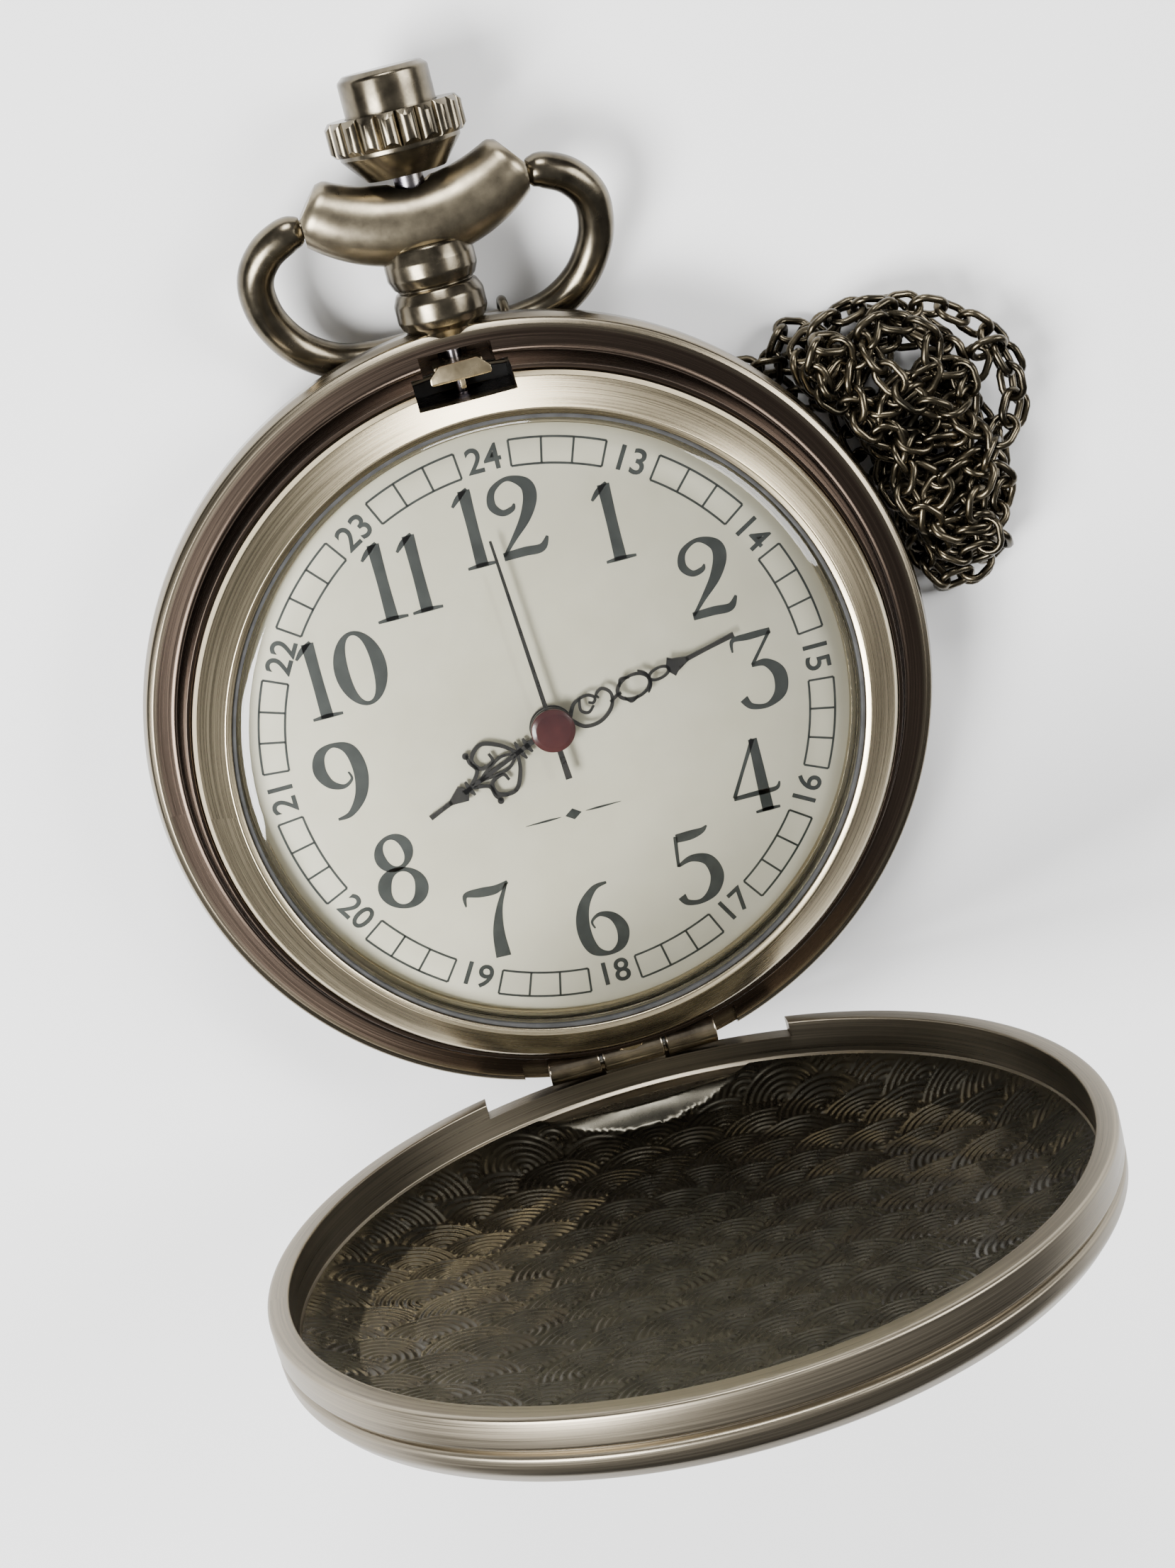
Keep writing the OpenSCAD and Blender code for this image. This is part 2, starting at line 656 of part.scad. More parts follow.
// Magnet rotor with its pinion
module rotor() {
  color([0.35, 0.35, 0.37]) translate([rotor_pos[0], rotor_pos[1], 0]) {
    translate([0, 0, 2.2]) gear(8, rotor_m, 0.5, arbor_r, 150 + 22.5);
    translate([0, 0, 3]) cylinder(r = 1.1, h = 1.4);
    arbor(arbor_r, bridge_z, 5.9);
  }
}

case_middle();
case_back();
back_gasket();
bezel_ring();
crystal_gasket();
crystal();
dial();
movement_ring();
main_plate();
train_bridge();
bridge_screws();
stator();
coil();
circuit_board();
driver_chip();
quartz_can();
battery();
battery_strap();
minute_wheel_stud();
pendant_neck();
pendant_saddle();
hinge_pin();
lift_spring();
chain_lead();
chain_heap();
front_cover();
cover_panel();
bow();
bow_link();
latch_catch();
crown();
crown_cross_pin();
setting_stem();
sliding_pinion();
push_button();
push_tube();
setting_lever();
seconds_hand();
hand_cap();
seconds_wheel();
minute_hand();
centre_wheel();
cannon_pinion();
hour_hand();
hour_wheel();
minute_wheel();
third_wheel();
intermediate_wheel();
rotor();
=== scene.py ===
"""Looks of the pocket watch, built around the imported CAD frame. Lengths are in millimetres."""
import json
import math
from contextlib import contextmanager
import bmesh
import bpy
from mathutils import Matrix, Vector


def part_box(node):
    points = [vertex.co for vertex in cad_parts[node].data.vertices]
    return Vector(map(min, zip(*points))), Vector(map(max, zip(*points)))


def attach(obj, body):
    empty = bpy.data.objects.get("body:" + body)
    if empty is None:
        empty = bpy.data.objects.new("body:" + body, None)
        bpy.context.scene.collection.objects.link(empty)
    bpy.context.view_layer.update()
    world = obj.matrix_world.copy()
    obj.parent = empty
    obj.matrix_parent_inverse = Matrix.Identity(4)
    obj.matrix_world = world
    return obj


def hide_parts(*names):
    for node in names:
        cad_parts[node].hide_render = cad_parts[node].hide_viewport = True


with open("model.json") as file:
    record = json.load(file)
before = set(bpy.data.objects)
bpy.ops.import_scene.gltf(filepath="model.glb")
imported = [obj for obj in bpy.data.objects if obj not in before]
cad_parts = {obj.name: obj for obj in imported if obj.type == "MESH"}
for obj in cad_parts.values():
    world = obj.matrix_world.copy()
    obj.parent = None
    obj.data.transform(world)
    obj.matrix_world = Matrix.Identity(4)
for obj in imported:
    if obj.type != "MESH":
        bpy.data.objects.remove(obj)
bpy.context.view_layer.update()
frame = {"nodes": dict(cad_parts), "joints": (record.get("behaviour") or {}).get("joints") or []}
MM = 0.001

# Places read from the frame, in millimetres
hinge_joint = next(j for j in frame["joints"] if j["name"] == "cover_hinge")
bow_joint = next(j for j in frame["joints"] if j["name"] == "bow_swing")
HINGE_Y, HINGE_Z = [v / MM for v in hinge_joint["pos_m"][1:]]
OPEN_DEG = -hinge_joint["range_deg"][0]
BOW_Y, BOW_Z = [v / MM for v in bow_joint["pos_m"][1:]]
CASE_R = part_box("case_middle")[1].x / MM
DIAL_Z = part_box("dial")[1].z / MM
CRYSTAL_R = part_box("crystal")[1].x / MM
SHOULDER_Z = 6.6
MOUTH_Z = 6.7
FLOOR_Z = 11.7
SEAT_Z = 5.5
NOTCH = 0.95
DISH = [(21.4, 9.15), (20.5, 9.75), (18.9, 10.65), (16, 11.3), (10, 11.65), (0, FLOOR_Z)]
COVER_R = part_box("front_cover")[1].x / MM


# ---------------------------------------------------------------- camera
def make_camera():
    """Camera at the photograph's angle: looking down from beyond 12 o'clock, rolled a little."""
    data = bpy.data.cameras.new("camera")
    data.lens = 57.0
    data.clip_start = 0.005
    data.clip_end = 10
    cam = bpy.data.objects.new("camera", data)
    bpy.context.scene.collection.objects.link(cam)
    place = Vector((-6.2, 41.1, 146.8)) * MM
    forward = Vector((0.051, -0.310, -0.949)).normalized()
    up = Vector((0.260, 0.922, -0.287))
    right = forward.cross(up).normalized()
    up = right.cross(forward)
    turn = Matrix((right, up, -forward)).transposed().to_4x4()
    cam.matrix_world = Matrix.Translation(place) @ turn
    bpy.context.scene.camera = cam


# ---------------------------------------------------------------- mesh helpers
def new_object(name, mesh, material, body, replaces=(), smooth=35):
    """Link a mesh as a piece of the object: material, body, slot and the CAD nodes it stands for."""
    obj = bpy.data.objects.new(name, mesh)
    bpy.context.scene.collection.objects.link(obj)
    mesh.name = name
    mesh.materials.clear()
    mesh.materials.append(material)
    shade(obj, smooth)
    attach(obj, body)
    if replaces:
        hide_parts(*replaces)
    return obj


def shade(obj, degrees):
    """Smooth shading, with sharp edges where faces turn by more than the angle."""
    mesh = obj.data
    mesh.polygons.foreach_set("use_smooth", [True] * len(mesh.polygons))
    limit = math.radians(degrees)
    with edited(mesh) as bm:
        for edge in bm.edges:
            edge.smooth = len(edge.link_faces) == 2 and edge.calc_face_angle(0) < limit


def raw_mesh(verts, faces):
    """Mesh data from points in millimetres."""
    mesh = bpy.data.meshes.new("piece")
    mesh.from_pydata([Vector(v) * MM for v in verts], [], faces)
    return mesh


@contextmanager
def edited(mesh):
    """The mesh opened for editing and written back afterwards."""
    bm = bmesh.new()
    bm.from_mesh(mesh)
    yield bm
    bm.to_mesh(mesh)
    bm.free()


def mesh_of(verts, faces):
    """Mesh with shared corners merged and its faces turned outwards."""
    mesh = raw_mesh(verts, faces)
    with edited(mesh) as bm:
        bmesh.ops.remove_doubles(bm, verts=bm.verts, dist=1e-7)
        bmesh.ops.recalc_face_normals(bm, faces=bm.faces)
    return mesh


def rounded(points, radius, steps=4):
    """Closed outline with its corners rounded; radius is one number or one per point."""
    out = []
    count = len(points)
    for i, p in enumerate(points):
        r = radius[i] if isinstance(radius, (list, tuple)) else radius
        p = Vector(p)
        a, b = Vector(points[i - 1]) - p, Vector(points[(i + 1) % count]) - p
        if r <= 0 or a.length < 1e-6 or b.length < 1e-6:
            out.append(tuple(p))
            continue
        half = a.angle(b) / 2
        reach = min(r / max(math.tan(half), 1e-3), a.length * 0.45, b.length * 0.45)
        start, end = p + a.normalized() * reach, p + b.normalized() * reach
        for k in range(steps + 1):
            t = k / steps
            out.append(tuple((1 - t) ** 2 * start + 2 * t * (1 - t) * p + t * t * end))
    return out


def lathe(profile, segments=160):
    """Solid of revolution about Z from a closed (radius, z) outline."""
    verts, faces = [], []
    n = len(profile)
    for s in range(segments):
        a = 2 * math.pi * s / segments
        verts += [(r * math.cos(a), r * math.sin(a), z) for r, z in profile]
    for s in range(segments):
        t = (s + 1) % segments
        for i in range(n):
            j = (i + 1) % n
            if profile[i][0] < 1e-6 and profile[j][0] < 1e-6:
                continue
            faces.append((s * n + i, t * n + i, t * n + j, s * n + j))
    mesh = raw_mesh(verts, faces)
    with edited(mesh) as bm:
        bmesh.ops.remove_doubles(bm, verts=bm.verts, dist=1e-8)
        bmesh.ops.dissolve_degenerate(bm, edges=bm.edges, dist=1e-9)
        bmesh.ops.recalc_face_normals(bm, faces=bm.faces)
    return mesh


def prism(outline, z0, z1, bevel=0.0):
    """Upright prism over a closed outline, with an optional small chamfer on its rims."""
    n = len(outline)
    verts = [(x, y, z0) for x, y in outline] + [(x, y, z1) for x, y in outline]
    faces = [tuple(range(n))[::-1], tuple(range(n, 2 * n))]
    faces += [(i, (i + 1) % n, n + (i + 1) % n, n + i) for i in range(n)]
    mesh = mesh_of(verts, faces)
    if bevel:
        bevel_mesh(mesh, bevel)
    return mesh


def bevel_mesh(mesh, width, angle=40):
    with edited(mesh) as bm:
        edges = [e for e in bm.edges if len(e.link_faces) == 2 and e.calc_face_angle(0) > math.radians(angle)]
        bmesh.ops.bevel(bm, geom=edges, offset=width * MM, segments=2, affect="EDGES", profile=0.6)


def box_mesh(low, high, bevel=0.0):
    outline = [(low[0], low[1]), (high[0], low[1]), (high[0], high[1]), (low[0], high[1])]
    return prism(outline, low[2], high[2], bevel)


def sweep(path, radii, sides=20, closed=False):
    """Tube along a path of points, with a radius at each point; ends are closed."""
    path = [Vector(p) for p in path]
    n = len(path)
    verts, faces = [], []
    normal = None
    for i, p in enumerate(path):
        nxt = path[(i + 1) % n] if closed or i + 1 < n else p
        prv = path[i - 1] if closed or i > 0 else p
        tangent = (nxt - prv).normalized()
        if normal is None:
            normal = tangent.orthogonal().normalized()
        normal = (normal - tangent * normal.dot(tangent)).normalized()
        side = tangent.cross(normal)
        for k in range(sides):
            a = 2 * math.pi * k / sides
            verts.append(p + radii[i] * (math.cos(a) * normal + math.sin(a) * side))
    for i in range(n if closed else n - 1):
        j = (i + 1) % n
        for k in range(sides):
            m = (k + 1) % sides
            faces.append((i * sides + k, j * sides + k, j * sides + m, i * sides + m))
    if not closed:
        faces.append(tuple(range(sides))[::-1])
        faces.append(tuple(range((n - 1) * sides, n * sides)))
    return mesh_of(verts, faces)


def spline(points, per=8, closed=False):
    """Catmull-Rom curve through points of any dimension."""
    pts = [tuple(float(c) for c in p) for p in points]
    n = len(pts)
    out = []
    for i in range(n if closed else n - 1):
        quad = [pts[(i + k) % n] if closed else pts[min(max(i + k, 0), n - 1)] for k in (-1, 0, 1, 2)]
        for s in range(per):
            t = s / per
            weights = (-t + 2 * t ** 2 - t ** 3, 2 - 5 * t ** 2 + 3 * t ** 3,
                       t + 4 * t ** 2 - 3 * t ** 3, -t ** 2 + t ** 3)
            out.append(tuple(sum(w * q[d] for w, q in zip(weights, quad)) / 2 for d in range(len(pts[0]))))
    if not closed:
        out.append(pts[-1])
    return out


def ribbon(points, z0, z1, closed=False):
    """Flat strip along (x, y, width) points, from z0 to z1."""
    n = len(points)
    verts, faces = [], []
    for i, (x, y, w) in enumerate(points):
        a = points[i - 1] if closed or i > 0 else points[i]
        b = points[(i + 1) % n] if closed or i + 1 < n else points[i]
        d = Vector((b[0] - a[0], b[1] - a[1]))
        d = d.normalized() if d.length > 1e-9 else Vector((1, 0))
        off = Vector((-d.y, d.x)) * w / 2
        left, right = (x + off.x, y + off.y), (x - off.x, y - off.y)
        verts += [(*left, z1), (*right, z1), (*right, z0), (*left, z0)]
    for i in range(n if closed else n - 1):
        j = (i + 1) % n
        for k in range(4):
            m = (k + 1) % 4
            faces.append((4 * i + k, 4 * i + m, 4 * j + m, 4 * j + k))
    if not closed:
        faces += [(0, 1, 2, 3), (4 * n - 1, 4 * n - 2, 4 * n - 3, 4 * n - 4)]
    return verts, faces


def loop_points(cx, cy, rx, ry, thin, thick, phase=0.0, count=40):
    """Closed oval stroke whose width swells on two opposite sides."""
    out = []
    for k in range(count):
        a = 2 * math.pi * k / count
        w = thin + (thick - thin) * (0.5 + 0.5 * math.cos(2 * (a - phase)))
        out.append((cx + rx * math.cos(a), cy + ry * math.sin(a), w))
    return out


class Flat:
    """Collects flat strips and plates into one mesh."""

    def __init__(self, z0, z1, bold=1.0):
        self.z0, self.z1, self.bold = z0, z1, bold
        self.verts, self.faces = [], []

    def add(self, verts, faces, place=lambda x, y: (x, y)):
        base = len(self.verts)
        self.verts += [(*place(x, y), z) for x, y, z in verts]
        self.faces += [tuple(i + base for i in f) for f in faces]

    def stroke(self, points, closed=False, place=lambda x, y: (x, y), smooth=6):
        pts = spline(points, smooth, closed) if smooth else points
        pts = [(x, y, w * self.bold) for x, y, w in pts]
        self.add(*ribbon(pts, self.z0, self.z1, closed), place)

    def plate(self, outline, place=lambda x, y: (x, y)):
        n = len(outline)
        verts = [(x, y, self.z1) for x, y in outline] + [(x, y, self.z0) for x, y in outline]
        faces = [tuple(range(n)), tuple(range(2 * n - 1, n - 1, -1))]
        faces += [(i, n + i, n + (i + 1) % n, (i + 1) % n) for i in range(n)]
        self.add(verts, faces, place)

    def disc(self, cx, cy, r, count=24, place=lambda x, y: (x, y)):
        self.plate([(cx + r * math.cos(2 * math.pi * k / count), cy + r * math.sin(2 * math.pi * k / count))
                    for k in range(count)], place)

    def mesh(self):
        mesh = raw_mesh(self.verts, self.faces)
        with edited(mesh) as bm:
            bmesh.ops.recalc_face_normals(bm, faces=bm.faces)
        return mesh


def cut(mesh, cutters, keep=False):
    """Subtract cutter meshes (or keep only what they share) and return the new mesh."""
    scene = bpy.context.scene.collection
    obj = bpy.data.objects.new("cut_body", mesh)
    scene.objects.link(obj)
    tools = []
    for i, cutter in enumerate(cutters):
        tool = bpy.data.objects.new(f"cut_tool_{i}", cutter)
        scene.objects.link(tool)
        tools.append(tool)
        mod = obj.modifiers.new(f"cut_{i}", "BOOLEAN")
        mod.operation = "INTERSECT" if keep else "DIFFERENCE"
        mod.solver = "EXACT"
        mod.object = tool
    bpy.context.view_layer.update()
    graph = bpy.context.evaluated_depsgraph_get()
    result = bpy.data.meshes.new_from_object(obj.evaluated_get(graph))
    for o in [obj, *tools]:
        bpy.data.objects.remove(o)
    return result


def joined(meshes):
    """One mesh from several."""
    bm = bmesh.new()
    for m in meshes:
        bm.from_mesh(m)
    out = bpy.data.meshes.new("piece")
    bm.to_mesh(out)
    bm.free()
    return out


def turned(mesh, matrix):
    mesh.transform(matrix)
    return mesh


def along_y(y=0.0):
    """Matrix that lays a Z-axis lathe along +Y at the pendant's height."""
    return Matrix.Translation(Vector((0, y, BOW_Z)) * MM) @ Matrix.Rotation(math.radians(-90), 4, "X")


def on_hinge():
    """Lays a shape lathed about Z along the hinge's axis."""
    return Matrix.Translation(Vector((0, HINGE_Y, HINGE_Z)) * MM) @ Matrix.Rotation(math.pi / 2, 4, "Y")


def opened():
    """Matrix that carries the shut cover to its open rest place."""
    at = Vector((0, HINGE_Y, HINGE_Z)) * MM
    return Matrix.Translation(at) @ Matrix.Rotation(math.radians(OPEN_DEG), 4, "X") @ Matrix.Translation(-at)


# ---------------------------------------------------------------- materials
class Nodes:
    """Short way to build a node tree."""

    def __init__(self, name):
        self.mat = bpy.data.materials.new(name)
        self.mat.use_nodes = True
        self.tree = self.mat.node_tree
        self.shader = self.tree.nodes["Principled BSDF"]
        self.coord = self.tree.nodes.new("ShaderNodeTexCoord").outputs["Object"]

    def node(self, kind, inputs=None, **props):
        n = self.tree.nodes.new(kind)
        for key, value in props.items():
            setattr(n, key, value)
        for key, value in (inputs or {}).items():
            if hasattr(value, "is_linked"):
                self.tree.links.new(value, n.inputs[key])
            else:
                n.inputs[key].default_value = value
        return n

    def noise(self, scale, detail=4.0, rough=0.6):
        n = self.node("ShaderNodeTexNoise", {"Vector": self.coord, "Scale": scale, "Detail": detail,
                                             "Roughness": rough})
        return n.outputs["Fac"]

    def ramp(self, fac, stops):
        n = self.node("ShaderNodeValToRGB", {"Fac": fac})
        ramp = n.color_ramp
        while len(ramp.elements) < len(stops):
            ramp.elements.new(0.5)
        for element, (place, colour) in zip(ramp.elements, stops):
            element.position = place
            element.color = (*colour, 1)
        return n.outputs["Color"]

    def spread(self, fac, low, high, from_low=0.3, from_high=0.7):
        n = self.node("ShaderNodeMapRange", {"Value": fac, "From Min": from_low, "From Max": from_high,
                                             "To Min": low, "To Max": high})
        return n.outputs["Result"]

    def link(self, value, socket):
        self.tree.links.new(value, self.shader.inputs[socket])

    def bump(self, height, strength, distance_mm):
        n = self.node("ShaderNodeBump", {"Height": height, "Strength": strength,
                                         "Distance": distance_mm * MM})
        self.link(n.outputs["Normal"], "Normal")


def polar(nodes):
    """Radius, angle and height about Z of the object coordinates, for lathe-turned finishes."""
    parts = nodes.node("ShaderNodeSeparateXYZ", {"Vector": nodes.coord})
    flat = nodes.node("ShaderNodeCombineXYZ", {"X": parts.outputs["X"], "Y": parts.outputs["Y"]})
    radius = nodes.node("ShaderNodeVectorMath", {0: flat.outputs["Vector"]}, operation="LENGTH")
    angle = nodes.node("ShaderNodeMath", {0: parts.outputs["Y"], 1: parts.outputs["X"]}, operation="ARCTAN2")
    return radius.outputs["Value"], angle.outputs["Value"], parts.outputs["Z"]


def metal(name, dark, light, rough=(0.2, 0.34), grain=0.03):
    """Antique plated metal: mottled tone, uneven polish and a fine satin grain."""
    n = Nodes(name)
    n.link(n.ramp(n.noise(420, 5), [(0.32, dark), (0.68, light)]), "Base Color")
    n.link(n.spread(n.noise(900, 6, 0.65), *rough), "Roughness")
    n.shader.inputs["Metallic"].default_value = 1.0
    n.bump(n.noise(6000, 3), grain, 0.02)
    return n.mat


def brushed_ring(name, dark, light, rough=0.3, axis="Z", channel=None):
    """Metal brushed round its axis: fine rings in tone, polish and relief, with an optional darker painted
    shade inside a given radius.
    """
    n = Nodes(name)
    radius, angle, height = polar(n)
    across = [n.node("ShaderNodeMath", {0: v, 1: 9000.0}, operation="MULTIPLY").outputs["Value"]
              for v in (radius, height)]
    line = n.node("ShaderNodeCombineXYZ", {"X": across[0], "Y": angle, "Z": across[1]})
    streak = n.node("ShaderNodeTexNoise", {"Vector": line.outputs["Vector"], "Scale": 1.0, "Detail": 5.0,
                                           "Roughness": 0.7}).outputs["Fac"]
    tone = n.ramp(streak, [(0.3, dark), (0.7, light)])
    polish = n.spread(streak, rough - 0.05, rough + 0.08)
    # Painted shade: inside the inner radius the tone turns a darker brown, standing in for the shade of a
    # concave channel.
    if channel:
        inner, outer, channel_shade = channel
        step = n.node("ShaderNodeMapRange", {"Value": radius, "From Min": inner * MM, "From Max": outer * MM})
        shaded_tone = n.ramp(streak, [(0.3, [c * 0.7 for c in channel_shade]), (0.7, channel_shade)])
        tone = n.node("ShaderNodeMixRGB", {0: step.outputs["Result"], 1: shaded_tone, 2: tone}).outputs["Color"]
    n.link(tone, "Base Color")
    n.link(polish, "Roughness")
    n.shader.inputs["Metallic"].default_value = 1.0
    n.shader.inputs["Anisotropic"].default_value = 0.65
    n.link(n.node("ShaderNodeTangent", direction_type="RADIAL", axis=axis).outputs["Tangent"], "Tangent")
    n.bump(streak, 0.08, 0.01)
    return n.mat


def enamel(name, dark, light, rough=0.35, scale=300, bump=0.02):
    """Printed or painted surface with a faint tone variation and orange peel."""
    n = Nodes(name)
    n.link(n.ramp(n.noise(scale, 4), [(0.35, dark), (0.65, light)]), "Base Color")
    n.link(n.spread(n.noise(scale * 3, 4), rough - 0.05, rough + 0.06), "Roughness")
    n.bump(n.noise(scale * 14, 2), bump, 0.01)
    return n.mat


def crystal_glass(name):
    """Thin clear glass: see-through, with a Fresnel reflection and a few faint smears."""
    n = Nodes(name)
    tree = n.tree
    clear = n.node("ShaderNodeBsdfTransparent", {"Color": (0.97, 0.98, 0.97, 1)})
    gloss = n.node("ShaderNodeBsdfGlossy", {"Color": (1, 1, 1, 1)})
    tree.links.new(n.spread(n.noise(160, 4), 0.02, 0.07), gloss.inputs["Roughness"])
    edge = n.node("ShaderNodeFresnel", {"IOR": 1.45})
    mix = n.node("ShaderNodeMixShader", {0: edge.outputs["Fac"], 1: clear.outputs["BSDF"],
                                         2: gloss.outputs["BSDF"]})
    out = next(x for x in tree.nodes if x.type == "OUTPUT_MATERIAL")
    tree.links.new(mix.outputs["Shader"], out.inputs["Surface"])
    tree.nodes.remove(n.shader)
    return n.mat


def tilted_cover_material():
    """Cover finish: brushed round the cover's own axis, which leans with the open cover."""
    mat = brushed_ring("antique_cover_open", (0.13, 0.112, 0.084), (0.27, 0.235, 0.175), 0.3, axis="Y")
    tree = mat.node_tree
    coord = next(n for n in tree.nodes if n.type == "TEX_COORD")
    users = [link.to_socket for link in coord.outputs["Object"].links]
    shift = tree.nodes.new("ShaderNodeMapping")
    shift.vector_type = "POINT"
    back = opened().inverted()
    shift.inputs["Location"].default_value = back.to_translation()
    shift.inputs["Rotation"].default_value = back.to_euler()
    tree.links.new(coord.outputs["Object"], shift.inputs["Vector"])
    for socket in users:
        tree.links.new(shift.outputs["Vector"], socket)
    return mat


def make_materials():
    dark, light = (0.055, 0.047, 0.034), (0.175, 0.150, 0.106)
    return {
        "case": metal("antique_case", dark, light, (0.17, 0.3)),
        # The band's concave channel, inside about 22.6 mm, gets a darker brown painted shade.
        "band": brushed_ring("antique_band", (0.13, 0.11, 0.078), (0.24, 0.205, 0.148), 0.24,
                             channel=(22.6, 22.95, (0.075, 0.055, 0.042))),
        "cover": brushed_ring("antique_cover", (0.14, 0.12, 0.088), (0.25, 0.215, 0.16), 0.3),
        "cover_tilted": tilted_cover_material(),
        # The cover's inside is a much darker copy of the cover metal: painted shade for the dish's inner
        # floor.
        "inner": metal("cover_inside_shaded", (0.042, 0.039, 0.031), (0.066, 0.061, 0.048), (0.24, 0.32), 0.002),
        "bezel": brushed_ring("brushed_bezel", (0.35, 0.295, 0.195), (0.56, 0.475, 0.325), 0.26),
        "saddle": metal("satin_saddle", (0.13, 0.11, 0.078), (0.30, 0.258, 0.18), (0.27, 0.36), 0.015),
        "hinge": metal("worn_hinge", (0.16, 0.135, 0.10), (0.46, 0.39, 0.28), (0.14, 0.26), 0.06),
        "bronze": metal("pale_bronze", (0.42, 0.34, 0.21), (0.66, 0.55, 0.36), (0.18, 0.3)),
        "dial": enamel("cream_dial", (0.655, 0.605, 0.48), (0.70, 0.65, 0.525), 0.5),
        "print": enamel("dial_print", (0.018, 0.021, 0.02), (0.036, 0.04, 0.038), 0.5, 900),
        "hand": enamel("hand_black", (0.012, 0.011, 0.011), (0.03, 0.027, 0.026), 0.3, 700),
        "cap": enamel("cap_maroon", (0.045, 0.010, 0.012), (0.08, 0.02, 0.02), 0.2, 500),
        "rubber": enamel("seal_rubber", (0.02, 0.02, 0.02), (0.04, 0.04, 0.04), 0.7, 800, 0.1),
        "glass": crystal_glass("clear_crystal"),
        "chain": metal("antique_chain", (0.02, 0.018, 0.013), (0.115, 0.095, 0.062), (0.2, 0.36), 0.04),
        "brass": brushed_ring("cut_brass", (0.55, 0.42, 0.2), (0.78, 0.62, 0.34), 0.25),
        "steel": metal("turned_steel", (0.42, 0.42, 0.43), (0.62, 0.62, 0.63), (0.18, 0.3)),
        "dark_steel": metal("dark_steel", (0.10, 0.095, 0.13), (0.22, 0.20, 0.18), (0.2, 0.34)),
        "plastic": enamel("white_plastic", (0.70, 0.70, 0.67), (0.80, 0.80, 0.77), 0.45, 260),
        "board": enamel("green_board", (0.02, 0.09, 0.04), (0.04, 0.16, 0.07), 0.35, 900),
        "copper": brushed_ring("coil_copper", (0.36, 0.13, 0.05), (0.62, 0.28, 0.12), 0.3),
        "resin": enamel("black_resin", (0.01, 0.01, 0.01), (0.03, 0.03, 0.03), 0.3, 600),
        "floor": enamel("pale_floor", (0.80, 0.80, 0.80), (0.83, 0.83, 0.83), 0.6, 30),
    }


# ---------------------------------------------------------------- chain
LINK_W, LINK_WIRE, LINK_PITCH = 1.95, 0.46, 1.6
CHAIN_MAX = 0.42
LAYER_Z = (1.05, 2.95, 4.75)
LOOPS = 6


def clear_of_case(x, y, z):
    """Push a point of the chain outwards until the strand stands clear of the case's band."""
    limit = 21.7 if z < 2.2 else CASE_R + 1.15
    r = math.hypot(x, y)
    return (x, y, z) if r >= limit else (x * limit / r, y * limit / r, z)


def chain_path():
    """Route of the chain: out of the bow's link, under the rim, then piled in three layers of loose loops."""
    lead = [(3.7, 19.6, 1.15), (5.4, 18.8, 1.1), (8.4, 18.7, 1.05), (11.6, 17.6, 1.05), (14.4, 16.2, 1.05)]
    spine = spline([(19.6, 15.6, 2.0), (22.6, 15.0, 3.2), (25.6, 13.2, 3.9), (26.2, 10, 3.8),
                    (27.0, 6.6, 3.3), (27.0, 4.2, 2.6), (26.5, 2.6, 2.1)], 10)
    heap = []
    for layer, z in enumerate(LAYER_Z):
        line = spine if layer % 2 == 0 else spine[::-1]
        steps = LOOPS * 12
        for i in range(steps):
            t = i / steps
            at = t * (len(line) - 1)
            k = int(at)
            middle = Vector(line[k]).lerp(Vector(line[k + 1]), at - k)
            turn = 2 * math.pi * LOOPS * t + 0.7 * math.sin(9 * t + layer) + 2.1 * layer
            size = middle.z * (1 + 0.16 * math.sin(17 * t + 1.3 * layer)) * (0.86 if layer == 2 else 1)
            x = middle.x + size * math.cos(turn)
            y = middle.y + 0.95 * size * math.sin(turn)
            lift = z + 0.42 * math.sin(1.5 * turn + layer)
            heap.append(clear_of_case(x, y, lift))
    outer = [(25.2, 4.2, 4.6), (28.2, 3.4, 3.4), (30.0, 5.4, 2.6), (30.2, 8.2, 2.6), (31.9, 9.4, 2.6),
             (32.3, 12.2, 2.4), (30.9, 14.9, 2.6), (28.2, 17.0, 3.0), (25.4, 17.7, 3.6), (23.4, 16.6, 4.4),
             (24.6, 13.4, 5.6), (26.9, 11.4, 5.9), (29.2, 12.6, 4.2), (30.6, 14.6, 3.9), (31.6, 12.6, 4.0),
             (31.4, 10.2, 4.0), (29.2, 8.0, 5.2), (27.6, 5.0, 5.6), (29.6, 2.4, 2.6), (28.6, 0.9, 1.3),
             (26.6, 0.1, 1.05), (24.4, 0.2, 1.05)]
    return spline(lead + heap[::3] + outer, 10)


def even_points(path, step):
    """Points a fixed distance apart along a path."""
    out = [Vector(path[0])]
    left = step
    for a, b in zip(path, path[1:]):
        a, b = Vector(a), Vector(b)
        length = (b - a).length
        while length >= left:
            a = a + (b - a).normalized() * left
            out.append(a.copy())
            length = (b - a).length
            left = step
        left -= length
    return out


def link_mesh_points(length, width, wire, turns=18, sides=8):
    """Oval link in its own XY plane, long along X."""
    straight = (length - width) / 2
    r = (width - wire) / 2
    centre = []
    for k in range(turns):
        a = 2 * math.pi * k / turns
        shift = straight if math.cos(a) > 0 else -straight
        centre.append(Vector((r * math.cos(a) + shift, r * math.sin(a), 0)))
    verts, faces = [], []
    for k, c in enumerate(centre):
        t = (centre[(k + 1) % turns] - centre[k - 1]).normalized()
        side = t.cross(Vector((0, 0, 1)))
        for m in range(sides):
            b = 2 * math.pi * m / sides
            verts.append(c + wire / 2 * (math.cos(b) * side + math.sin(b) * Vector((0, 0, 1))))
        here, there = k * sides, ((k + 1) % turns) * sides
        for m in range(sides):
            q = (m + 1) % sides
            faces.append((here + m, there + m, there + q, here + q))
    return verts, faces


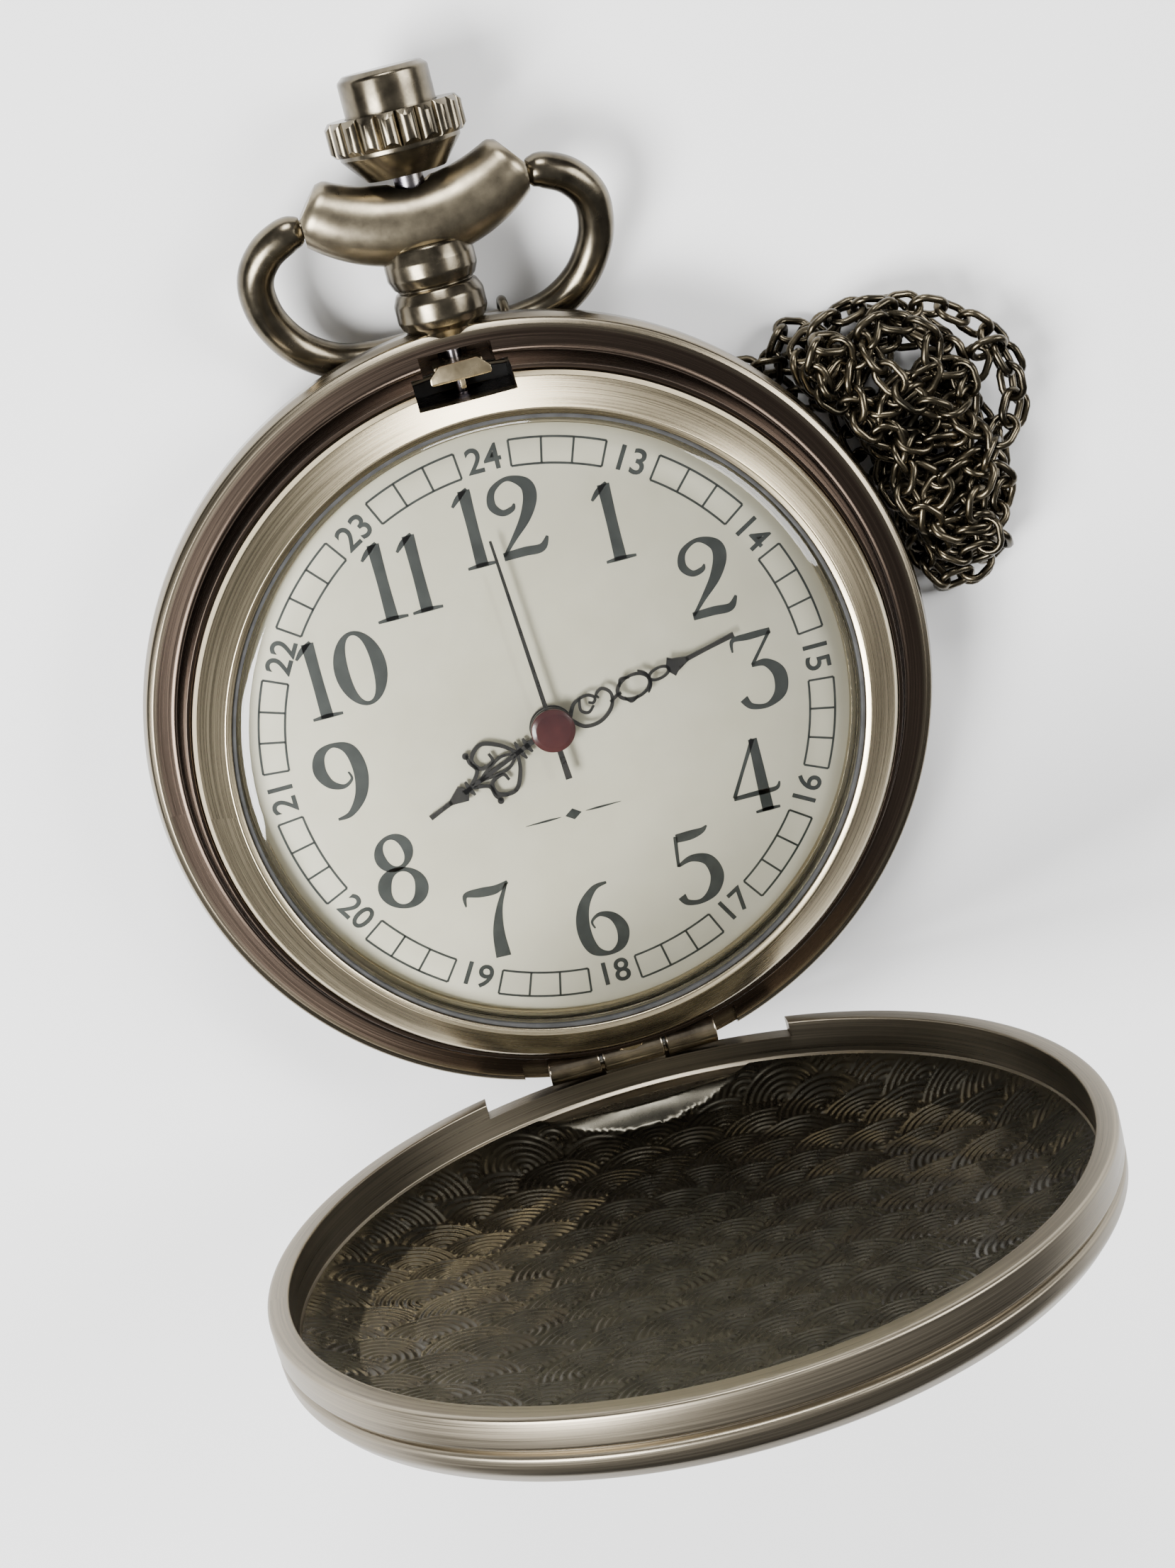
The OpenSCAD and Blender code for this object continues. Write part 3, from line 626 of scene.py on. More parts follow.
def make_chain(mats):
    path = chain_path()
    places = even_points(path, LINK_PITCH)
    places = places[:int(CHAIN_MAX / MM / LINK_PITCH) + 1]
    shape, ring = link_mesh_points(LINK_PITCH + 2 * LINK_WIRE, LINK_W, LINK_WIRE)
    verts, faces = [], []
    up = Vector((0, 0, 1))
    for i, (a, b) in enumerate(zip(places, places[1:])):
        along = (b - a).normalized()
        side = up.cross(along).normalized()
        lift = along.cross(side)
        roll = math.radians((45 if i % 2 else -45) + 14 * math.sin(i * 1.7))
        y = side * math.cos(roll) + lift * math.sin(roll)
        z = along.cross(y)
        middle = (a + b) / 2
        base = len(verts)
        verts += [middle + v.x * along + v.y * y + v.z * z for v in shape]
        faces += [tuple(k + base for k in f) for f in ring]
    mesh = bpy.data.meshes.new("chain_links")
    mesh.from_pydata([v * MM for v in verts], [], faces)
    chain = new_object("chain_links", mesh, mats["chain"], "case",
                       ("chain_lead", "chain_heap"), 60)


# ---------------------------------------------------------------- case
def make_case(mats):
    profile = rounded([(18.5, 3.7), (18.5, 8.05), (20.7, 8.05), (20.7, 8.62), (20.95, 8.62), (21.2, 7.6),
                       (21.55, 6.72), (22.9, SHOULDER_Z + 0.02), (23.25, 6.45), (CASE_R, 5.7), (CASE_R, 4.4),
                       (23.2, 4.0), (22.4, 3.75), (20.8, 3.7), (20.8, 4.1), (19.2, 4.1), (19.2, 3.7)],
                      [0, 0, 0, 0.05, 0.05, 0.4, 0.5, 0.15, 0.3, 0.8, 0.6, 0.4, 0.2, 0.05, 0, 0, 0.05], 5)
    bore = turned(lathe([(0, 0), (1.2, 0), (1.2, 8), (0, 8)], 32), along_y(17))
    body = cut(lathe(profile, 256), [
        box_mesh((-6.8, -25, SEAT_Z), (6.8, -20.95, 10)),
        box_mesh((-1.3, -21.9, 7.55), (1.3, -18.6, 7.9)),
        box_mesh((-2.8, 19.6, 3.95), (2.8, 21.1, 10)),
        box_mesh((-2.1, 20.8, 3.95), (2.1, 22.15, 10)),
        bore])
    new_object("case_band", body, mats["band"], "case", ("case_middle",), 30)
    lugs = []
    for side in (-1, 1):
        x0, x1 = sorted((side * 2.1, side * 5.3))
        tube = lathe(rounded([(0.42, x0), (0.95, x0), (0.95, x1), (0.42, x1)], 0.12, 3), 40)
        lugs.append(turned(tube, on_hinge()))
        lugs.append(box_mesh((x0, -22.6, SEAT_Z - 0.1), (x1, -20.9, HINGE_Z - 0.1), 0.08))
    new_object("hinge_lugs", joined(lugs), mats["hinge"], "case", (), 40)
    back = rounded([(0, 0), (12.5, 0), (14.5, 0.3), (16.5, 1), (18.4, 2.05), (19.8, 3.05), (20.7, 3.6),
                    (20.7, 3.8), (19.6, 3.8), (18.4, 3.1),
                    (18.4, 4.1), (17.7, 4.1), (17.7, 2.65), (16.2, 1.85),
                    (14.3, 1.1), (12.3, 0.8), (0, 0.8)],
                   [0, 2, 2, 2, 2, 2, 0.1, 0.1, 0, 0, 0, 0, 0, 0, 0, 0, 0], 4)
    new_object("snap_back", lathe(back, 192), mats["cover"], "case",
               ("case_back",), 30)


def make_bezel(mats):
    profile = rounded([(17.7, DIAL_Z), (17.7, 9.1), (18.35, 9.1), (18.35, 10.15), (18.7, 10.3), (20.35, 9.15),
                       (20.6, 8.8), (20.6, 8.06), (18.35, 8.06), (18.35, DIAL_Z)],
                      [0.02, 0.05, 0, 0.08, 0.12, 0.25, 0.1, 0, 0, 0], 4)
    body = cut(lathe(profile, 256), [box_mesh((-2.8, 19.6, 8), (2.8, 21.6, 11))])
    new_object("bezel", body, mats["bezel"], "case", ("bezel_ring",), 30)
    seal = rounded([(18.12, 9.12), (18.34, 9.12), (18.34, 10.0), (18.12, 9.98)], 0.03, 2)
    new_object("crystal_seal", lathe(seal, 192), mats["rubber"], "case",
               ("crystal_gasket",), 40)


def make_crystal(mats):
    sag, thick, edge_z = 1.45, 0.7, 9.9
    dome = (CRYSTAL_R ** 2 + sag ** 2) / (2 * sag)
    base = edge_z + sag - dome
    steps = 24
    top = [(CRYSTAL_R * i / steps, base + math.sqrt(dome ** 2 - (CRYSTAL_R * i / steps) ** 2))
           for i in range(steps + 1)]
    top[-1] = (CRYSTAL_R - 0.12, top[-1][1])
    rim = [(CRYSTAL_R, edge_z - 0.14)]
    under = [(r if r < CRYSTAL_R - 0.2 else CRYSTAL_R, z - thick) for r, z in reversed(top)]
    new_object("crystal_dome", lathe(top + rim + under, 192), mats["glass"], "case",
               ("crystal",), 40)


# ---------------------------------------------------------------- dial
def ring_stroke(*args):
    return ("loop", loop_points(*args))


SERIF = {
    "0": [ring_stroke(0.31, 0.5, 0.235, 0.455, 0.045, 0.155, 0.0)],
    "1": [("line", [(0.20, 0.0, 0.135), (0.20, 0.5, 0.12), (0.20, 0.97, 0.135)]),
          ("line", [(0.02, 0.80, 0.03), (0.12, 0.90, 0.06), (0.24, 0.985, 0.03)]),
          ("line", [(0.02, 0.012, 0.03), (0.20, 0.02, 0.05), (0.40, 0.012, 0.03)])],
    "2": [("line", [(0.32, 0.66, 0.02), (0.28, 0.60, 0.06), (0.15, 0.58, 0.07), (0.05, 0.70, 0.09),
                    (0.10, 0.88, 0.07), (0.30, 0.975, 0.05), (0.50, 0.87, 0.13), (0.53, 0.70, 0.15),
                    (0.42, 0.47, 0.12), (0.22, 0.24, 0.06), (0.05, 0.05, 0.03)]),
          ("line", [(0.04, 0.045, 0.09), (0.30, 0.05, 0.10), (0.52, 0.045, 0.09), (0.62, 0.17, 0.03)])],
    "3": [("line", [(0.06, 0.80, 0.02), (0.09, 0.95, 0.05), (0.30, 0.955, 0.08), (0.58, 0.96, 0.07)]),
          ("line", [(0.57, 0.96, 0.04), (0.42, 0.77, 0.035), (0.27, 0.58, 0.04)]),
          ("line", [(0.26, 0.575, 0.04), (0.44, 0.57, 0.09), (0.58, 0.40, 0.15), (0.55, 0.16, 0.14),
                    (0.36, 0.025, 0.06), (0.15, 0.06, 0.07), (0.07, 0.18, 0.10)])],
    "4": [("line", [(0.42, 0.0, 0.13), (0.42, 0.5, 0.12), (0.42, 0.98, 0.10)]),
          ("line", [(0.42, 0.98, 0.05), (0.22, 0.62, 0.04), (0.03, 0.27, 0.045)]),
          ("line", [(0.02, 0.26, 0.05), (0.35, 0.26, 0.06), (0.58, 0.26, 0.05), (0.64, 0.34, 0.02)]),
          ("line", [(0.26, 0.012, 0.03), (0.42, 0.018, 0.045), (0.58, 0.012, 0.03)])],
    "5": [("line", [(0.16, 0.93, 0.10), (0.35, 0.93, 0.11), (0.50, 0.95, 0.07), (0.58, 1.0, 0.02)]),
          ("line", [(0.155, 0.96, 0.045), (0.13, 0.75, 0.04), (0.11, 0.55, 0.035)]),
          ("line", [(0.11, 0.56, 0.035), (0.30, 0.62, 0.08), (0.50, 0.54, 0.13), (0.57, 0.32, 0.155),
                    (0.48, 0.12, 0.13), (0.30, 0.02, 0.06), (0.12, 0.05, 0.07), (0.06, 0.15, 0.10)])],
    "6": [("line", [(0.50, 0.97, 0.03), (0.32, 0.93, 0.07), (0.14, 0.72, 0.13), (0.07, 0.42, 0.155),
                    (0.13, 0.13, 0.13), (0.32, 0.02, 0.05), (0.50, 0.10, 0.11), (0.56, 0.30, 0.14),
                    (0.48, 0.49, 0.10), (0.32, 0.57, 0.05), (0.20, 0.50, 0.03), (0.22, 0.40, 0.02)])],
    "7": [("line", [(0.03, 0.78, 0.02), (0.06, 0.93, 0.06), (0.25, 0.92, 0.11), (0.45, 0.91, 0.10),
                    (0.62, 0.97, 0.04)]),
          ("line", [(0.60, 0.96, 0.03), (0.44, 0.66, 0.07), (0.35, 0.34, 0.13), (0.33, 0.0, 0.17)])],
    "8": [ring_stroke(0.31, 0.755, 0.185, 0.215, 0.05, 0.12, 0.3),
          ring_stroke(0.31, 0.275, 0.235, 0.25, 0.05, 0.15, -0.3)],
}
SERIF["9"] = [(kind, [(0.62 - x, 1 - y, w) for x, y, w in pts]) for kind, pts in SERIF["6"]]
ADVANCE = {"1": 0.44}
NUMERAL_H, NUMERAL_R, STROKE = 4.65, 12.45, 1.15
LINE_W = 0.13


def small_numeral(text, angle, radius, height, flip, z):
    """Sans numeral laid round the dial, top outwards or, flipped, inwards."""
    curve = bpy.data.curves.new("small_" + text, "FONT")
    curve.body = text
    curve.align_x = "CENTER"
    curve.align_y = "CENTER"
    curve.size = height * 1.38 * MM
    curve.offset = 0.03 * MM
    curve.resolution_u = 4
    obj = bpy.data.objects.new("small", curve)
    bpy.context.scene.collection.objects.link(obj)
    bpy.context.view_layer.update()
    mesh = bpy.data.meshes.new_from_object(obj.evaluated_get(bpy.context.evaluated_depsgraph_get()))
    bpy.data.objects.remove(obj)
    place = Vector((radius * math.sin(angle), radius * math.cos(angle), z)) * MM
    mesh.transform(Matrix.Translation(place) @ Matrix.Rotation(-angle + (math.pi if flip else 0), 4, "Z"))
    return mesh


def make_dial(mats):
    disc = rounded([(1.1, DIAL_Z - 0.4), (18.3, DIAL_Z - 0.4), (18.3, DIAL_Z), (1.1, DIAL_Z)], 0.05, 2)
    new_object("dial_plate", lathe(disc, 192), mats["dial"], "case",
               ("dial",), 40)
    z0, z1 = DIAL_Z + 0.004, DIAL_Z + 0.016
    hours = Flat(z0, z1)
    for hour in range(1, 13):
        a = math.radians(30 * hour)
        draw_numeral(hours, str(hour), NUMERAL_R * math.sin(a), NUMERAL_R * math.cos(a), NUMERAL_H)
    new_object("hour_numerals", hours.mesh(), mats["print"], "case", (), 20)
    track = Flat(z0, z1)
    inner, outer, half = 15.35, 16.85, math.radians(9.6)
    for k in range(12):
        mid = math.radians(30 * k + 15)
        for r in (inner, outer):
            track.stroke([(r * math.sin(mid + half * t), r * math.cos(mid + half * t), LINE_W)
                          for t in [i / 6 - 1 for i in range(13)]], smooth=0)
        for t in (-1, -1 / 3, 1 / 3, 1):
            a = mid + half * t
            track.stroke([(inner * math.sin(a), inner * math.cos(a), LINE_W),
                          (outer * math.sin(a), outer * math.cos(a), LINE_W)], smooth=0)
    new_object("minute_boxes", track.mesh(), mats["print"], "case", (), 20)
    small = [small_numeral(str(13 + k), math.radians(30 * (k + 1)), 16.0, 1.5, 3 < 13 + k - 12 < 9, z1)
             for k in range(12)]
    new_object("small_numerals", joined(small), mats["print"], "case", (), 20)
    mark = Flat(z0, z1)
    mark.stroke([(-2.9, -5.6, 0.03), (-1.6, -5.6, 0.13), (-0.75, -5.6, 0.03)])
    mark.stroke([(0.75, -5.6, 0.03), (1.6, -5.6, 0.13), (2.9, -5.6, 0.03)])
    mark.plate([(-0.5, -5.6), (0, -5.25), (0.5, -5.6), (0, -5.95)])
    new_object("dial_ornament", mark.mesh(), mats["print"], "case", (), 20)


def draw_numeral(flat, text, cx, cy, height):
    """Numeral strokes are drawn in millimetres so that their widths scale with them."""
    widths = [ADVANCE.get(c, 0.66) for c in text]
    x = -sum(widths) / 2 + 0.02
    for c, w in zip(text, widths):
        for kind, pts in SERIF[c]:
            moved = [(cx + (x + px) * height, cy + (py - 0.5) * height, pw * height * STROKE)
                     for px, py, pw in pts]
            flat.stroke(moved, kind == "loop", smooth=0 if kind == "loop" else 7)
        x += w


# ---------------------------------------------------------------- hands
def spin_place(degrees):
    c, s = math.cos(math.radians(degrees)), math.sin(math.radians(degrees))
    return lambda x, y: (x * c - y * s, x * s + y * c)


HOUR_AT, MINUTE_AT, SECOND_AT = 203, 13, 94
HOUR_Z, MINUTE_Z, SECOND_Z = (8.85, 9.0), (9.2, 9.35), (9.6, 9.72)


def mirrored(half):
    """Close an outline by mirroring it across the hand's own line."""
    return half + [(x, -y) for x, y in reversed(half)]


def make_hands(mats):
    hour = Flat(*HOUR_Z, 1.35)
    at = spin_place(HOUR_AT)
    hour.stroke(loop_points(0, 0, 1.1, 1.1, 0.3, 0.3), True, at, 0)
    hour.stroke([(1.0, 0, 0.26), (3.0, 0, 0.2), (5.6, 0, 0.2), (6.4, 0, 0.26)], place=at)
    for x, w in ((1.75, 0.5), (2.25, 0.62), (5.95, 0.5)):
        hour.stroke([(x, -w, 0.1), (x + 0.05, 0, 0.22), (x, w, 0.1)], place=at)
    for side in (-1, 1):
        hour.stroke([(2.5, 0, 0.14), (3.0, side * 0.95, 0.17), (3.9, side * 1.75, 0.19),
                     (4.85, side * 1.35, 0.18), (4.75, side * 0.55, 0.17), (3.95, side * 0.5, 0.15),
                     (3.85, side * 1.0, 0.12)], place=at)
        hour.stroke([(2.7, side * 0.1, 0.12), (3.4, side * 0.42, 0.14), (4.3, side * 0.3, 0.14),
                     (5.2, 0, 0.13)], place=at)
        hour.stroke([(4.9, side * 1.75, 0.1), (5.05, side * 1.3, 0.16), (5.0, side * 0.6, 0.17),
                     (5.75, side * 0.1, 0.16)], place=at)
        hour.disc(5.0, side * 1.72, 0.2, 16, at)
    hour.plate(mirrored([(6.15, 0.16), (6.45, 0.55), (6.75, 0.42), (7.45, 0.11)]), at)
    hour.stroke([(7.3, 0, 0.22), (8.1, 0, 0.2), (8.85, 0, 0.24)], place=at)
    new_object("hand_hours", hour.mesh(), mats["hand"], "hours", ("hour_hand",), 40)

    minute = Flat(*MINUTE_Z, 1.25)
    at = spin_place(MINUTE_AT)
    minute.stroke(loop_points(0, 0, 0.95, 0.95, 0.5, 0.5), True, at, 0)
    minute.stroke([(1.2, 0.1, 0.2), (1.8, 0.75, 0.16), (2.6, 0.85, 0.15), (3.0, 0.5, 0.14), (2.8, 0.25, 0.12),
                   (2.55, 0.4, 0.1)], place=at)
    minute.stroke([(1.2, -0.1, 0.2), (1.75, -0.8, 0.17), (2.7, -0.95, 0.17), (3.6, -0.5, 0.17),
                   (3.95, 0.25, 0.16), (3.6, 0.78, 0.15), (3.15, 0.62, 0.13), (3.2, 0.35, 0.1)], place=at)
    minute.stroke([(2.2, 0.9, 0.12), (1.95, 0.2, 0.14), (2.3, -0.15, 0.13), (2.75, 0.1, 0.1)], place=at)
    minute.stroke([(3.7, -0.2, 0.14), (4.25, 0, 0.16), (4.5, 0, 0.12)], place=at)
    minute.stroke(loop_points(5.3, 0, 1.0, 0.68, 0.14, 0.18, 0), True, at, 0)
    for side in (-1, 1):
        for curl in ([(4.55, 0.35, 0.1), (4.8, 0.75, 0.13), (5.3, 0.62, 0.13)],
                     [(5.9, 0.75, 0.08), (6.2, 0.45, 0.13), (6.35, 0.1, 0.13)]):
            minute.stroke([(x, side * y, w) for x, y, w in curl], place=at)
    minute.stroke(loop_points(6.95, 0, 0.62, 0.32, 0.12, 0.15, 0), True, at, 0)
    minute.plate(mirrored([(7.45, 0.12), (7.75, 0.62), (8.0, 0.42), (8.85, 0.12)]), at)
    minute.stroke([(8.7, 0, 0.24), (10.2, 0, 0.21), (11.8, 0, 0.26)], place=at)
    new_object("hand_minutes", minute.mesh(), mats["hand"], "minutes",
               ("minute_hand",), 40)

    second = Flat(*SECOND_Z)
    at = spin_place(SECOND_AT)
    second.stroke([(0, 0, 0.28), (6, 0, 0.22), (11.7, 0, 0.16)], place=at)
    second.stroke([(0, 0, 0.3), (-1.6, 0, 0.34), (-3.1, 0, 0.4)], place=at)
    new_object("hand_seconds", second.mesh(), mats["hand"], "seconds",
               ("seconds_hand",), 40)
    cap = rounded([(0, 9.72), (1.3, 9.72), (1.3, 9.88), (1.0, 9.97), (0, 9.97)], [0, 0.03, 0.12, 0.15, 0], 4)
    new_object("centre_cap", lathe(cap, 64), mats["cap"], "seconds",
               ("hand_cap",), 40)


# ---------------------------------------------------------------- pendant, crown and bow
def make_pendant(mats):
    neck = rounded([(1.2, 0), (1.9, 0), (2.05, 0.35), (2.4, 0.65), (2.6, 1.1), (2.6, 2.1), (2.35, 2.65),
                    (2.15, 2.8), (2.35, 2.95), (2.6, 3.5), (2.6, 4.3), (2.4, 5.2), (1.2, 5.2)],
                   [0, 0, 0.2, 0.3, 0.5, 0.5, 0.3, 0.05, 0.3, 0.5, 0.5, 0.3, 0], 5)
    new_object("neck_beads", turned(lathe(neck, 72), along_y(CASE_R - 0.6)), mats["case"],
               "case", ("pendant_neck",), 40)
    bend_r, lean, count = 9.4, math.radians(40), 48
    path, radii = [], []
    for i in range(count + 1):
        t = 2 * i / count - 1
        a = t * lean
        path.append((bend_r * math.sin(a), BOW_Y - 1.15 + bend_r * (1 - math.cos(a)), BOW_Z))
        radii.append(2.28 - 0.5 * t * t - 2.2 * max(0, abs(t) - 0.94) ** 1.5 * 10)
    saddle = sweep(path, radii, 48)
    bore = turned(lathe([(0, 0), (1.25, 0), (1.25, 9), (0, 9)], 32), along_y(26))
    trims = [box_mesh((x, BOW_Y - 5, 0), (x + 8, BOW_Y + 6, 10)) for x in (6.42, -14.42)]
    new_object("saddle", cut(saddle, [bore, *trims]), mats["saddle"], "case",
               ("pendant_saddle",), 40)


FLUTES, FLUTE_DEPTH, FLUTE_POWER = 20, 0.42, 0.55
CROWN_R, CROWN_BORE, CROWN_TOP = 3.9, 2.66, 35.6
BUTTON_R, BUTTON_FOOT, BUTTON_TOP = 2.58, 34.4, 37.75


def make_crown(mats):
    outline = []
    for k in range(FLUTES * 10):
        a = 2 * math.pi * k / (FLUTES * 10)
        r = CROWN_R - FLUTE_DEPTH * (1 - abs(math.sin(FLUTES * a / 2)) ** FLUTE_POWER)
        outline.append((r * math.cos(a), r * math.sin(a)))
    collar = prism(outline, 33.6, CROWN_TOP - 0.1, 0.0)
    limit = rounded([(CROWN_BORE, 33.3), (3.4, 33.3), (CROWN_R, 33.9), (CROWN_R, 35.15), (3.55, CROWN_TOP),
                     (CROWN_BORE, CROWN_TOP)], 0.1, 3)
    collar = cut(collar, [lathe(limit, 120)], keep=True)
    cone = rounded([(0.95, 31.95), (2.25, 31.95), (3.42, 33.35), (3.45, 33.75), (0.95, 33.75)],
                   [0, 0.15, 0.2, 0, 0], 4)
    crown = joined([collar, lathe(cone, 72)])
    new_object("crown_fluted", turned(crown, along_y()), mats["case"], "crown", ("crown",), 40)
    cap = rounded([(0, BUTTON_FOOT), (BUTTON_R, BUTTON_FOOT), (BUTTON_R, BUTTON_TOP - 0.3),
                   (2.2, BUTTON_TOP), (0, BUTTON_TOP)], [0, 0.05, 0.3, 0.25, 0], 5)
    new_object("button_cap", turned(lathe(cap, 72), along_y()), mats["case"], "button",
               ("push_button",), 40)


BOW_LEN, BOW_FOLD, BOW_WIRE = 8.85, 19.8, 1.05
RING_X, RING_R, RING_WIRE, RING_TIP = 3.6, 1.47, 0.28, 1.75


def bow_matrix():
    """Folds the bow back over the neck until it rests beside the case."""
    fold = Matrix.Rotation(math.radians(180 + BOW_FOLD), 4, "X")
    return Matrix.Translation(Vector((0, BOW_Y, BOW_Z)) * MM) @ fold


def make_bow(mats):
    half = [(6.5, 0, 0.68), (6.8, 0.02, 0.88), (7.5, 0.14, 1.02)]
    half += [(x, y, BOW_WIRE) for x, y in ((8.7, 0.8), (9.6, 1.95), (9.85, 3.3), (9.5, 5.1), (8.35, 7.0),
                                           (6.5, 8.35), (4.3, BOW_LEN - 0.02), (2, BOW_LEN))]
    points = half + [(0, BOW_LEN, BOW_WIRE)] + [(-x, y, r) for x, y, r in reversed(half)]
    line = spline(points, 6)
    body = sweep([(x, y, 0) for x, y, r in line], [r for x, y, r in line], 24)
    stub = rounded([(0, 0), (0.55, 0), (0.55, 1.6), (0, 1.6)], 0.03, 2)
    pins = [turned(lathe(stub, 24), Matrix.Translation(Vector((side * 5.9 - 0.8, 0, 0)) * MM)
                   @ Matrix.Rotation(math.pi / 2, 4, "Y")) for side in (-1, 1)]
    bow = turned(joined([body, *pins]), bow_matrix())
    new_object("bow_wire", bow, mats["case"], "bow", ("bow",), 50)
    bar = bow_matrix() @ (Vector((0, BOW_LEN, 0)) * MM) / MM
    loop = []
    for k in range(36):
        a = 2 * math.pi * k / 36
        y, z = RING_R * math.cos(a), RING_R * math.sin(a)
        if math.cos(a) < 0:
            t = -math.cos(a)
            y, z = y - RING_TIP * t, z * (1 - 0.45 * t) - 0.6 * t
        loop.append((RING_X, bar.y + y, bar.z + z))
    link = sweep(loop, [RING_WIRE] * len(loop), 14, closed=True)
    new_object("bow_ring", link, mats["chain"], "bow", ("bow_link",), 60)


# ---------------------------------------------------------------- cover
def make_cover(mats):
    inner = COVER_R - 1.2
    dome = [(DISH[0][0], 10.8)] + [(r, z + (1.15 if r > 20 else 0.85)) for r, z in DISH[1:]]
    profile = rounded([(inner, MOUTH_Z), (COVER_R, MOUTH_Z), (COVER_R, 8.3), (COVER_R - 0.4, 8.52),
                       (COVER_R, 8.74), (COVER_R - 0.05, 9.6), (COVER_R - 0.6, 10.3), *dome,
                       *reversed(DISH[1:]), (inner - 0.15, 9.05), (inner, 8.85)],
                      [0.1, 0.25, 0.2, 0.16, 0.3, 0.9, 0.6]
                      + [1.5] * 5 + [0, 0] + [1.5] * 3 + [0.6, 0.1, 0.1], 5)
    shell = cut(lathe(profile, 256), [
        box_mesh((-9.5, -24, 5), (9.5, -19, MOUTH_Z + NOTCH)),
        box_mesh((-3.2, inner - 0.6, 7.2), (3.2, inner + 0.5, 8.1))])
    knuckle = lathe(rounded([(0.45, -1.9), (0.95, -1.9), (0.95, 1.9), (0.45, 1.9)], 0.12, 3), 40)
    knuckle = turned(knuckle, on_hinge())
    arm = box_mesh((-1.9, -22.85, HINGE_Z + 0.7), (1.9, -21.9, 8.0), 0.1)
    new_object("cover_shell", turned(joined([shell, arm]), opened()), mats["cover_tilted"],
               "cover", ("front_cover",), 30)
    new_object("cover_knuckle", turned(knuckle, opened()), mats["hinge"], "cover", (), 40)
    make_scales(mats, inner - 0.12)


def floor_height(r):
    """Height of the dish's floor at a distance from the cover's axis."""
    for (r1, z1), (r0, z0) in zip(DISH, DISH[1:]):
        if r >= r0:
            return z0 + (z1 - z0) * (r - r0) / (r1 - r0)
    return FLOOR_Z


SCALE_W, SCALE_ROW, SCALE_R, RING = 3.9, 2.1, 2.75, 0.44
LENS_R, LENS_Y, LENS_SLOPE, LENS_TOP = 14.5, -33.4, 0.7, 9.35


def scale_height(x, y):
    """Height of overlapping discs, each engraved with concentric rings, as on engine-turned sheet."""
    best = None
    first = math.floor(y / SCALE_ROW)
    for row in range(first - 2, first + 3):
        shift = 0.5 * SCALE_W if row % 2 else 0.0
        column0 = round((x - shift) / SCALE_W)
        for column in (column0 - 1, column0, column0 + 1):
            cx = column * SCALE_W + shift + 0.4 * math.sin(row * 12.9 + column * 78.2)
            cy = row * SCALE_ROW + 0.35 * math.sin(row * 7.3 + column * 3.1)
            d = math.hypot(x - cx, y - cy)
            if d < SCALE_R and (best is None or row * 7 + column % 3 > best[0]):
                best = (row * 7 + column % 3, d)
    if best is None:
        return 0.0
    return 0.04 * math.cos(2 * math.pi * best[1] / RING) + 0.08 * (1 - best[1] / SCALE_R)


def make_scales(mats, radius):
    """Engraved lining of the dish, modelled as relief; a smooth lens lies beside the hinge."""
    step = 0.09
    n = int(radius / step) + 1
    index, verts, faces = {}, [], []
    for i in range(-n, n + 1):
        for j in range(-n, n + 1):
            x, y = i * step, j * step
            r = math.hypot(x, y)
            if r > radius + step:
                continue
            if r > radius:
                x, y, r = x * radius / r, y * radius / r, radius
            inside = LENS_R - math.hypot(x, y - LENS_Y)
            floor = floor_height(r) - 0.06
            if inside > 0:
                relief = min(1.0, inside / LENS_SLOPE) * (floor - LENS_TOP)
            else:
                relief = scale_height(x, y) * min(1.0, (radius - r) / 0.8)
            index[i, j] = len(verts)
            verts.append((x, y, floor - relief))
    for (i, j), a in index.items():
        quad = [index.get((i + 1, j)), index.get((i + 1, j + 1)), index.get((i, j + 1))]
        if None not in quad:
            faces.append((a, quad[2], quad[1], quad[0]))
    mesh = bpy.data.meshes.new("cover_lining")
    mesh.from_pydata([Vector(v) * MM for v in verts], [], faces)
    # The lining takes the darker inner material, painted shade for the dish's inside.
    new_object("cover_lining", turned(mesh, opened()), mats["inner"], "cover",
               ("cover_panel",), 70)


# ---------------------------------------------------------------- hinge and catch details
def make_small_parts(mats):
    ends = rounded([(0, -5.3), (0.4, -5.3), (0.4, 5.3), (0, 5.3)], [0, 0.12, 0.12, 0], 3)
    pin = turned(lathe(ends, 32), on_hinge())
    new_object("hinge_pin_rod", pin, mats["steel"], "case", ("hinge_pin",), 40)
    leaf = [(-1.2, -18.8), (1.2, -18.8), (1.15, -20.5)]
    leaf += [(0.85 * math.cos(a), -20.7 + 0.85 * math.sin(a)) for a in
             [math.radians(-10 - 160 * k / 12) for k in range(13)]]
    leaf.append((-1.15, -20.5))
    new_object("spring_leaf", prism(leaf, 7.6, 7.85, 0.04), mats["bronze"], "case",
               ("lift_spring",), 40)
    tongue = [(-1.8, 20.55), (-1.75, 21.0), (-1.15, 21.55), (1.15, 21.6), (1.75, 21.0), (1.8, 20.55)]
    block = box_mesh((-1.4, 20.9, 4.15), (1.4, 21.5, 7.6), 0.08)
    rib = box_mesh((-0.15, 20.05, 7.1), (0.15, 20.6, 7.75), 0.04)
    plate = prism(rounded(tongue, 0.25, 4), 7.45, 7.9, 0.12)
    bore = turned(lathe([(0, 0), (0.55, 0), (0.55, 4), (0, 4)], 24), along_y(19))
    new_object("catch_tongue", joined([cut(block, [bore]), rib, plate]), mats["bronze"],
               "catch", ("latch_catch",), 40)


